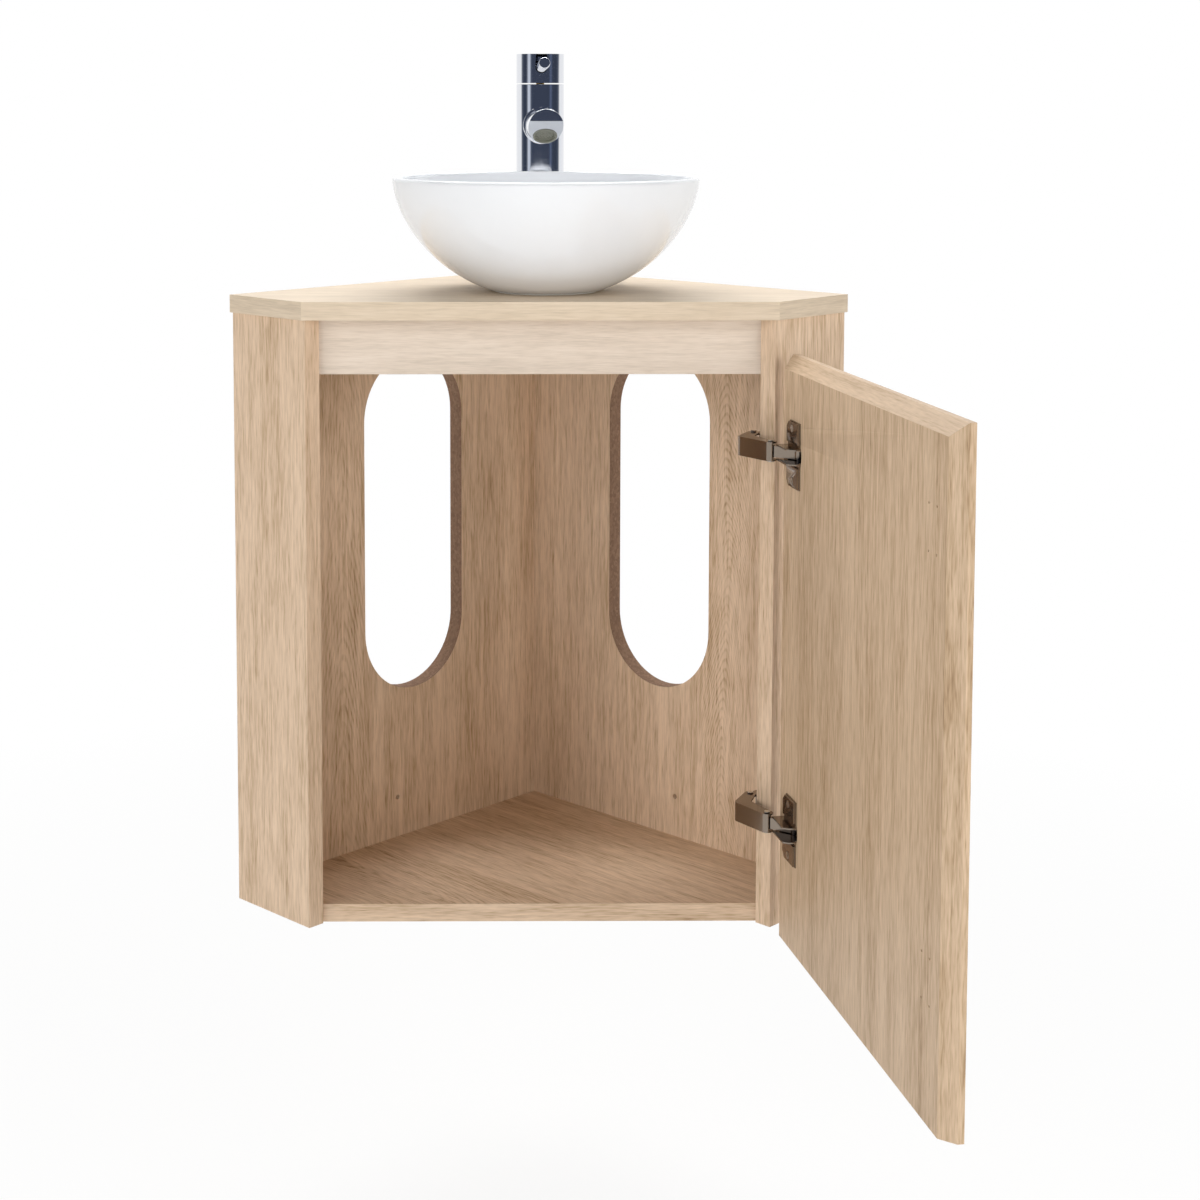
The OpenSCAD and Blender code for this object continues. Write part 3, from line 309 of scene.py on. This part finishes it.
glaze = moulded("white glazed ceramic", "f2f4f7", 0.08, 18.0, 0.12, 0.008)
glaze.node_tree.nodes["Principled BSDF"].inputs["Coat Weight"].default_value = 0.15
sealant = moulded("sanitary sealant", "eceae4", 0.4, 1.5)
rubber = moulded("black rubber", "2b2b2c", 0.7, 0.5, 0.02)
acetal = moulded("white acetal", "e7e6e0", 0.45)
strainer = moulded("olive grey aerator plastic", "77776a", 0.4)
beech = moulded("beech dowel wood", "c9a77c", 0.65, 0.8, 0.03, 0.1)
print("glaze and the rest:", ", ".join(m.name for m in (glaze, sealant, rubber, acetal, strainer, beech)))

# %% [markdown]
# ## Rounding the edges of the CAD solids
# A real board has a slightly eased edge band, and pressed steel has soft corners. These thin lines of light
# are most of what tells the eye that a thing is real. The CAD mesh is loose triangles, so a copy is welded,
# its flat faces are joined, and a Bevel modifier rounds what is sharp. The copy then stands for the CAD node.


# %% Helper: a welded copy with rounded edges
def eased(node, width_mm, material, segments=2, corner=35):
    """Copies a CAD node, welds it, joins flat faces and rounds its sharp edges by width_mm."""
    source = nodes[node]
    mesh = source.data.copy()
    mesh.name = node + "_eased"
    mesh.materials.clear()
    mesh.materials.append(material)
    shape = bmesh.new()
    shape.from_mesh(mesh)
    bmesh.ops.remove_doubles(shape, verts=shape.verts, dist=2e-6)
    bmesh.ops.dissolve_limit(shape, angle_limit=math.radians(0.4), verts=shape.verts, edges=shape.edges)
    for face in shape.faces:
        face.smooth = True
        face.material_index = 0
    shape.to_mesh(mesh)
    shape.free()
    mesh.set_sharp_from_angle(angle=math.radians(corner))
    piece = bpy.data.objects.new(node + "_piece", mesh)
    bpy.context.scene.collection.objects.link(piece)
    bevel = piece.modifiers.new("eased edges", "BEVEL")
    bevel.width = width_mm*MM
    bevel.segments = segments
    bevel.limit_method = "ANGLE"
    bevel.angle_limit = math.radians(corner)
    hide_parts(node)
    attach(piece, body_of[node])
    return piece


def face_centres(mesh):
    """Centre and normal of every face, as two arrays."""
    centres = np.zeros(3*len(mesh.polygons))
    normals = np.zeros(3*len(mesh.polygons))
    mesh.polygons.foreach_get("center", centres)
    mesh.polygons.foreach_get("normal", normals)
    return centres.reshape(-1, 3), normals.reshape(-1, 3)


# %% [markdown]
# ## The boards
# Every board keeps its CAD shape with edges eased by 0.4 mm. Which material a face gets depends on where it
# points: an end of the grain gets the edge band, and the sawn walls of the pipe cut-outs stay raw.

# %% Boards
# A box, in metres, that holds every sawn face of the pipe cut-outs and no other edge of a board
CUT_LOW, CUT_HIGH, CUT_NEAR, CUT_FAR = 0.155, 0.492, 0.04, 0.2
along = {"left_wall_panel": UP, "right_wall_panel": UP, "left_return": UP, "right_return": UP, "top_rail": X,
         "worktop": X, "bottom_panel": RIGHT, "door_panel": UP}
for name, wood in prints.items():
    piece = eased(name, 0.4, wood)
    mesh = piece.data
    centres, normals = face_centres(mesh)
    grain = np.array(along[name])/np.linalg.norm(along[name])
    slots = np.zeros(len(mesh.polygons), dtype=np.int32)
    if name in bands:
        mesh.materials.append(bands[name])
        slots[np.abs(normals @ grain) > 0.6] = 1
    if name == "worktop":
        mesh.materials.append(bands["worktop_right"])
        slots[(slots == 1) & (normals[:, 0]*normals[:, 1] < 0)] = 2
    if name in ("left_wall_panel", "right_wall_panel"):
        mesh.materials.append(raw_board)
        out = np.array([np.sign(centres[:, 0].mean()), 1.0, 0.0])/math.sqrt(2)
        edge_on = np.abs(normals @ out) < 0.5
        height, aside = centres[:, 2], np.abs(centres[:, 0])
        within = (height > CUT_LOW) & (height < CUT_HIGH) & (aside > CUT_NEAR) & (aside < CUT_FAR)
        slots[edge_on & within] = 2
    mesh.polygons.foreach_set("material_index", slots)
    print(name, "faces by material:", np.bincount(slots).tolist())

# %% [markdown]
# ## Hinges
# Each concealed hinge is pressed steel with bright nickel plate: a cup in the door, a fixed arm on its
# mounting plate, and two links between them. Their CAD shapes stay, with edges rounded by 0.2 mm.

# %% Hinges
steel_parts = ["hinge_plates", "upper_hinge_arm", "lower_hinge_arm", "upper_hinge_cup", "lower_hinge_cup",
               "upper_outer_link", "lower_outer_link", "upper_inner_link", "lower_inner_link"]
for name in steel_parts:
    eased(name, 0.2, nickel)
for name in ("hinge_plate_screws", "hinge_arm_screws", "hinge_arm_pins", "hinge_cup_screws", "hinge_cup_pins",
             "upper_link_rivet", "lower_link_rivet"):
    eased(name, 0.12, nickel_screw)
print("hinge parts in plated steel:", len(steel_parts))


# %% [markdown]
# ## Turned shapes
# The basin, the column of the tap, its cap, its lever and the waste are all turned shapes. Each is a profile
# of radius against height, carried once round an axis. The whole grid of points is worked out at once.

# %% Helpers: grid surfaces and profiles
def grid_piece(name, points, material, body, close_v=True, sharp=40):
    """A surface from a grid of points (rows, columns, 3): each face joins point (i, j) to its three
    neighbours at i + 1 and j + 1. close_v joins the last column to the first."""
    rows, columns = points.shape[:2]
    index = np.arange(rows*columns).reshape(rows, columns)
    right = np.roll(index, -1, axis=1) if close_v else index[:, 1:]
    left = index if close_v else index[:, :-1]
    faces = np.stack([left[:-1], right[:-1], right[1:], left[1:]], axis=-1).reshape(-1, 4)
    mesh = bpy.data.meshes.new(name)
    mesh.from_pydata(points.reshape(-1, 3).tolist(), [], faces.tolist())
    shape = bmesh.new()
    shape.from_mesh(mesh)
    bmesh.ops.remove_doubles(shape, verts=shape.verts, dist=1e-7)
    bmesh.ops.recalc_face_normals(shape, faces=shape.faces)
    shape.to_mesh(mesh)
    shape.free()
    mesh.polygons.foreach_set("use_smooth", np.ones(len(mesh.polygons), dtype=bool))
    mesh.set_sharp_from_angle(angle=math.radians(sharp))
    mesh.materials.append(material)
    piece = bpy.data.objects.new(name, mesh)
    bpy.context.scene.collection.objects.link(piece)
    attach(piece, body)
    return piece


def rounded(profile, radius, steps=6):
    """Replaces each inner corner of a profile by an arc: the point at t is
    (1 - t)^2 before + 2t(1 - t) corner + t^2 after, with before and after at radius from the corner."""
    profile = np.asarray(profile, dtype=float)
    corner, back, ahead = profile[1:-1], profile[:-2], profile[2:]
    to_back = back - corner
    to_ahead = ahead - corner
    reach_back = np.minimum(radius, 0.45*np.linalg.norm(to_back, axis=1))[:, None]
    reach_ahead = np.minimum(radius, 0.45*np.linalg.norm(to_ahead, axis=1))[:, None]
    before = corner + to_back/np.linalg.norm(to_back, axis=1)[:, None]*reach_back
    after = corner + to_ahead/np.linalg.norm(to_ahead, axis=1)[:, None]*reach_ahead
    t = np.linspace(0, 1, steps)[None, :, None]
    arcs = (1 - t)**2*before[:, None] + 2*t*(1 - t)*corner[:, None] + t**2*after[:, None]
    return np.concatenate([profile[:1], arcs.reshape(-1, 2), profile[-1:]])


def turned(profile, turns=128):
    """Carries a profile of (radius, height) round Z: (r cos a, r sin a, z) for evenly spaced angles a."""
    angle = np.linspace(0, 2*np.pi, turns, endpoint=False)
    r, z = profile[:, :1], profile[:, 1:]
    return np.stack([r*np.cos(angle), r*np.sin(angle), z + 0*angle], axis=-1)


def placed(points, matrix):
    """Moves a grid of points by a 4 x 4 matrix."""
    m = np.array(matrix)
    return points @ m[:3, :3].T + m[:3, 3]


# %% [markdown]
# ## Basin
# The basin is a round bowl of glazed ceramic, fired in a mould, so no edge on it is sharp. Its outside
# follows r = R sqrt(1 - ((H - h)/b)^1.77), a little more conical than an ellipse, which was measured on
# the photograph. The rim is a half circle between the outside and the inside.

# %% Basin
low, high = [np.array(c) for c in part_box("basin")]
basin_r = (high[0] - low[0])/2
basin_h = high[2] - low[2] + 1.5*MM
basin_at = np.array([(low[0] + high[0])/2, (low[1] + high[1])/2, high[2] - basin_h])
foot_r, wall, floor_h, fullness = 48*MM, 6*MM, 12*MM, 1.77
seal_h = 1.5*MM


def side(outer_r, end_r, low_h, steps):
    """Profile from the low end to the rim: r = R sqrt(1 - ((H - h)/b)^p), b set so that r = end_r at low_h
    (for the foot, h is counted from the worktop)."""
    low_end = 0.0 if end_r == foot_r else low_h
    reach = (basin_h - low_end)/(1 - (end_r/outer_r)**2)**(1/fullness)
    h = low_h + (basin_h - wall/2 - low_h)*np.linspace(0, 1, steps)**1.6
    return np.stack([outer_r*np.sqrt(1 - ((basin_h - h)/reach)**fullness), h], axis=1)


outside = side(basin_r, foot_r, seal_h, 60)
inside = side(basin_r - wall, 33*MM, floor_h, 60)[::-1]
rim_mid = (outside[-1] + inside[0])/2
half = (outside[-1, 0] - inside[0, 0])/2
sweep = np.linspace(0, np.pi, 16)[1:-1]
rim = np.stack([rim_mid[0] + half*np.cos(sweep), rim_mid[1] + wall/2*np.sin(sweep)], axis=1)
foot = np.array([[23.6, 4.5], [39, 4.5], [39, 1.5]])*MM
drain = np.array([[31.5, 12], [31.5, 10], [23.6, 10], [23.6, 4.5]])*MM
bowl = np.concatenate([foot, outside, rim, inside, drain])
basin = grid_piece("basin_bowl", placed(turned(bowl, 192), Matrix.Translation(basin_at)), glaze, "cabinet", sharp=50)
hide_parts("basin")
print("basin radius and height in mm:", basin_r*1000, basin_h*1000)

# %% [markdown]
# ## Waste
# The plug is a low polished dome on the flange of the waste. Both are turned and chrome plated.

# %% Waste plug and flange
low, high = [np.array(c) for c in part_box("waste_plug")]
cap_r = (high[0] - low[0])/2
cap_z = high[2] - 5*MM - basin_at[2]
sweep = np.linspace(0, np.pi/2, 24)
dome = np.stack([cap_r*np.cos(sweep), cap_z + 1*MM + 4*MM*np.sin(sweep)], axis=1)
stem = np.array([[0, low[2] - basin_at[2]], [3.5*MM, low[2] - basin_at[2]], [3.5*MM, cap_z], [cap_r, cap_z]])
plug_profile = np.concatenate([stem, dome])
plug = grid_piece("plug_dome", placed(turned(plug_profile, 96), Matrix.Translation(basin_at)), chrome, "waste_plug")
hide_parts("waste_plug")
for name, finish in (("waste_body", chrome), ("waste_nut", chrome)):
    eased(name, 0.3, finish)
print("plug radius in mm:", round(cap_r*1000, 2))

# %% [markdown]
# ## Tap
# The tap is a polished brass column with chrome plate. A straight spout leaves it at the front, cut off
# square above and at a slant below, where the aerator sits. A cap turns on top, and a pin lever lifts in it.
# Mirror surfaces show every flat facet, so the column, spout and lever are fine grids; the cap keeps its CAD shape with
# rounded edges.

# %% Tap: column and cap
low, high = [np.array(c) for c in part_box("tap_cap")]
tap_r = (high[0] - low[0])/2
tap_at = np.array([(low[0] + high[0])/2, (low[1] + high[1])/2, basin_at[2]])
cap_low, cap_high = low[2] - tap_at[2], high[2] - tap_at[2]
lever_axis = next(j for j in frame["joints"] if j["name"] == "lever_lift")["axis"]
tap_turn = math.atan2(-lever_axis[1], -lever_axis[0])
tap_frame = Matrix.Translation(tap_at) @ Matrix.Rotation(tap_turn, 4, "Z")
column_top = cap_low - 1.2*MM
bore_r = 17.55*MM
column = rounded([[0, seal_h], [tap_r, seal_h], [tap_r, column_top], [bore_r, column_top],
                  [bore_r, column_top - 10*MM]], 0.6*MM)
column_piece = grid_piece("tap_column", placed(turned(column, 160), tap_frame), chrome, "cabinet", sharp=50)
print("tap radius in mm:", round(tap_r*1000, 2), "turned by degrees:", round(math.degrees(tap_turn), 2))

# %% [markdown]
# The spout is a tube whose end is cut twice. A point of the tube at height z above its axis ends at
# reach - max(0, top - z) tan(56 degrees), so the upper part ends square and the rest at a slant. The flat
# ends share the tube's own edge points, so the whole spout is one closed surface.

# %% Tap: spout
spout_z, spout_r, reach, top, slant = 148*MM, 16.7*MM, 103*MM, 5.3*MM, math.radians(56)
edge_r, jet_r = 0.7*MM, 11.55*MM
inner_r = spout_r - edge_r
corner = math.acos(top/inner_r)
upper = np.linspace(-corner, corner, 61)
lower = np.linspace(corner, 2*np.pi - corner, 121)[1:-1]
around = np.concatenate([upper, lower])


def along_to_point(x, along, z):
    """A point of the spout from its sideways, lengthways and upward distances."""
    return np.stack([x + 0*along, -along + 0*x, spout_z + z + 0*along], axis=-1)


def end_of(z):
    """How far the spout reaches at a height above its axis."""
    return reach - np.maximum(0, top - z)*math.tan(slant)


bend = np.linspace(0, np.pi/2, 7)[:, None]
edge_radius = spout_r - edge_r*(1 - np.cos(bend))
edge_rows = along_to_point(edge_radius*np.sin(around), end_of(inner_r*np.cos(around)) - edge_r*(1 - np.sin(bend)),
                           edge_radius*np.cos(around))
first_rows = np.stack([along_to_point(r*np.sin(around), s + 0*around, r*np.cos(around))
                       for r, s in ((0, 15*MM), (spout_r, 15*MM), (spout_r, 30*MM), (spout_r, 60*MM))])
tube = np.concatenate([first_rows, edge_rows])

fraction = np.linspace(0, 1, 9)[:, None]
crease_x = inner_r*np.sin(upper)
arc = along_to_point(inner_r*np.sin(upper), end_of(inner_r*np.cos(upper)), inner_r*np.cos(upper))
crease = along_to_point(crease_x, reach + 0*upper, top + 0*upper)
square_end = arc + fraction[:, :, None]*(crease - arc)

lower_arc = along_to_point(inner_r*np.sin(lower), end_of(inner_r*np.cos(lower)), inner_r*np.cos(lower))
loop = np.concatenate([crease, lower_arc])
outlet_l = (top + spout_r)/math.cos(slant)
jet_w = 0.66*outlet_l
out = np.array([0, -math.cos(slant), -math.sin(slant)])
down = np.array([0, math.sin(slant), -math.cos(slant)])
jet_at = np.array([0, -reach, spout_z + top]) + jet_w*down
offset = loop - jet_at
ring = jet_at + jet_r*offset/np.linalg.norm(offset, axis=1)[:, None]
slant_end = loop + fraction[:, :, None]*(ring - loop)
socket = np.stack([ring, ring - 8*MM*out, jet_at - 8*MM*out + 0*ring])
print("outlet normal:", out, "aerator at:", jet_at)


def merged_piece(name, grids, material, body, sharp=40):
    """Several grids, each given with whether its columns close, welded into one surface."""
    parts = [grid_piece(f"{name}_{i}", points, material, body, close, sharp) for i, (points, close) in enumerate(grids)]
    shape = bmesh.new()
    for part in parts:
        shape.from_mesh(part.data)
        bpy.data.objects.remove(part)
    bmesh.ops.remove_doubles(shape, verts=shape.verts, dist=1e-6)
    bmesh.ops.recalc_face_normals(shape, faces=shape.faces)
    mesh = bpy.data.meshes.new(name)
    shape.to_mesh(mesh)
    shape.free()
    mesh.polygons.foreach_set("use_smooth", np.ones(len(mesh.polygons), dtype=bool))
    mesh.set_sharp_from_angle(angle=math.radians(sharp))
    mesh.materials.append(material)
    piece = bpy.data.objects.new(name, mesh)
    bpy.context.scene.collection.objects.link(piece)
    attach(piece, body)
    return piece


grids = [(tube, True), (square_end, False), (slant_end, True), (socket, True)]
merged_piece("tap_spout", [(placed(g, tap_frame), close) for g, close in grids], chrome, "cabinet")
collar_profile = rounded([[0, 19.5*MM], [18.1*MM, 19.5*MM], [18.1*MM, 25.5*MM], [0, 25.5*MM]], 0.6*MM)
forwards = tap_frame @ Matrix.Translation((0, 0, spout_z)) @ Matrix.Rotation(math.radians(90), 4, "X")
grid_piece("spout_collar", placed(turned(collar_profile, 128), forwards), chrome, "cabinet")
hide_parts("tap_body")
eased("tap_aerator", 0.1, strainer)

# %% Tap: cap and lever
eased("tap_cap", 0.4, chrome, 3)
pivot_z = (cap_low + cap_high)/2
lever_frame = tap_frame @ Matrix.Translation((0, 0, pivot_z)) @ Matrix.Rotation(math.radians(90 - 3.6), 4, "X")
lever_profile = rounded([[0, 0], [5.5*MM, 0], [5.5*MM, 72*MM], [0, 72*MM]], 1.1*MM, 8)
lever = grid_piece("lever_pin", placed(turned(lever_profile, 96), lever_frame), chrome, "tap_lever")
across = tap_frame @ Matrix.Translation((0, 0, pivot_z)) @ Matrix.Rotation(math.radians(90), 4, "Y")
hub_profile = rounded([[2.05*MM, -7*MM], [7.5*MM, -7*MM], [7.5*MM, 7*MM], [2.05*MM, 7*MM]], 0.5*MM)
grid_piece("lever_hub", placed(turned(hub_profile, 64), across), chrome, "tap_lever")
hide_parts("tap_lever")
print("cap and lever made; the lever pivots at mm:", round(pivot_z*1000, 1))

# %% [markdown]
# ## Pieces that hardly show
# Dowels, cam locks and bolts, seals, nuts and the cartridge keep their CAD meshes. Each gets the material
# that the real piece is made of.

# %% Finishes on the CAD nodes that stay
plain = {
    "assembly_dowels": beech, "cam_locks": zinc, "cam_bolts": zinc, "basin_seal": sealant,
    "waste_washer": rubber, "tap_cartridge": acetal, "cartridge_nut": chrome, "tap_seal": rubber,
    "tap_stud": zinc, "tap_washers": rubber, "tap_nut": brass, "tap_spindle": brass, "lever_pivot_pin": zinc,
}
for name, finish in plain.items():
    nodes[name].data.materials.clear()
    nodes[name].data.materials.append(finish)
print("CAD nodes that keep their mesh:", len(plain))

# %% [markdown]
# ## Floor, light and camera
# The photograph is a cut-out on white, in soft light from several sides: one soft box on each side of the
# camera, a low one below it and one above and behind the unit. The unit hangs on a wall, so the floor lies
# 300 mm below it. The floor fades to plain white a metre away and the world is white to the camera and to
# reflections from behind, but dark in front, as the room behind a photographer is. That dark side is what
# gives chrome its depth, so the three front lamps stay out of reflections and two soft bands stand in.

# %% Floor
bpy.ops.mesh.primitive_circle_add(vertices=96, radius=12, fill_type="NGON", location=(0, 0, -0.30))
floor = bpy.context.object
floor.name = "studio_floor"
material, tree, shader, place = new_material("pale studio floor")
shader.inputs["Base Color"].default_value = colour("f3f2f0")
shader.inputs["Roughness"].default_value = 0.8
white = add(tree, "Emission", {"Color": colour("ffffff"), "Strength": 1.0})
distance = add(tree, "VectorMath", {0: place}, operation="LENGTH").outputs["Value"]
fade = add(tree, "MapRange", {"Value": distance, "From Min": 0.3, "From Max": 1.4, "To Min": 0.88}).outputs["Result"]
path = add(tree, "LightPath")
seen = add(tree, "Math", {0: path.outputs["Is Camera Ray"], 1: path.outputs["Is Glossy Ray"]},
           operation="MAXIMUM").outputs[0]
fade = add(tree, "Math", {0: fade, 1: seen}, operation="MULTIPLY").outputs[0]
both = add(tree, "MixShader", {0: fade, 1: shader.outputs[0], 2: white.outputs[0]})
tree.links.new(both.outputs[0], next(n for n in tree.nodes if n.type == "OUTPUT_MATERIAL").inputs["Surface"])
floor.data.materials.append(material)
print("floor at mm:", round(floor.location.z*1000))

# %% World
world = bpy.data.worlds.new("studio")
bpy.context.scene.world = world
world.use_nodes = True
tree = world.node_tree
tree.nodes.clear()
path = add(tree, "LightPath")
direction = add(tree, "SeparateXYZ", {0: add(tree, "TexCoord").outputs["Generated"]})
# The ceiling stays grey: the further up a reflection looks, the less of the white backdrop it meets
lowered = add(tree, "Math", {0: direction.outputs["Z"], 1: -0.3, 2: direction.outputs["Y"]},
              operation="MULTIPLY_ADD").outputs[0]
behind = add(tree, "MapRange", {"Value": lowered, "From Min": -1.0, "From Max": 1.0}).outputs["Result"]
room = ramp(tree, behind, [(0.0, "3f4657"), (0.45, "3a4150"), (0.57, "5b6270"), (0.65, "ffffff")])
ambient = add(tree, "Background", {"Color": colour("f2f1ee"), "Strength": 0.2})
# Two upright soft bands in the room's dark half, a white one on the left and a grey-blue one on the right
sideways = add(tree, "MapRange", {"Value": direction.outputs["X"], "From Min": -1.0, "From Max": 1.0}).outputs["Result"]
stripes = ramp(tree, sideways, [(0.03, "000000"), (0.08, "dfe4ec"), (0.15, "20242c"), (0.22, "000000"),
                                (0.84, "000000"), (0.89, "49536a"), (0.94, "000000")])
in_front = add(tree, "MapRange", {"Value": direction.outputs["Y"], "From Min": 0.0, "From Max": -0.1}).outputs["Result"]
dark_half = add(tree, "Background", {"Color": room, "Strength": 1.0})
bands_seen = add(tree, "Background", {"Color": stripes, "Strength": in_front})
mirrored = add(tree, "AddShader", {0: dark_half.outputs[0], 1: bands_seen.outputs[0]})
backdrop = add(tree, "Background", {"Color": colour("ffffff"), "Strength": 1.0})
glossy = add(tree, "Math", {0: path.outputs["Is Glossy Ray"], 1: path.outputs["Is Transmission Ray"]},
             operation="MAXIMUM").outputs[0]
first = add(tree, "MixShader", {0: glossy, 1: ambient.outputs[0], 2: mirrored.outputs[0]})
second = add(tree, "MixShader", {0: path.outputs["Is Camera Ray"], 1: first.outputs[0], 2: backdrop.outputs[0]})
add(tree, "OutputWorld", {"Surface": second.outputs[0]})
print("world:", world.name)


# %% Lamps
def soft_box(name, place, aim, size, watts):
    """A rectangular lamp at place that faces aim."""
    lamp = bpy.data.lights.new(name, "AREA")
    lamp.shape = "RECTANGLE"
    lamp.size, lamp.size_y = size
    lamp.energy = watts
    box = bpy.data.objects.new(name, lamp)
    bpy.context.scene.collection.objects.link(box)
    box.location = place
    box.rotation_euler = (Vector(aim) - Vector(place)).to_track_quat("-Z", "Y").to_euler()
    return box


low = soft_box("low front soft box", (0, -2.7, 0.45), (0, -0.3, 0.3), (1.0, 0.8), 13.5)
key = soft_box("left soft box", (-2.0, -1.75, 1.1), (0, -0.25, 0.4), (1.2, 1.6), 25.5)
fill = soft_box("right soft box", (2.0, -1.75, 1.1), (0, -0.25, 0.4), (1.2, 1.6), 28.5)
low.visible_glossy = key.visible_glossy = fill.visible_glossy = False
soft_box("back top soft box", (0, 0.6, 2.0), (0, -0.25, 0.4), (1.6, 0.8), 33)

# %% Camera
camera_data = bpy.data.cameras.new("photograph")
camera_data.sensor_width = 36
camera_data.lens = 63.44
camera_data.shift_x, camera_data.shift_y = 0.0721, -0.2762
camera = bpy.data.objects.new("photograph", camera_data)
camera.location = (-0.03334, -2.16063, 0.73338)
camera.rotation_euler = (math.radians(85.32), 0, math.radians(-0.32))
bpy.context.scene.collection.objects.link(camera)
bpy.context.scene.camera = camera
bpy.context.scene.view_settings.view_transform = "Standard"
print("camera:", camera.name, "lens in mm:", round(camera_data.lens, 2))
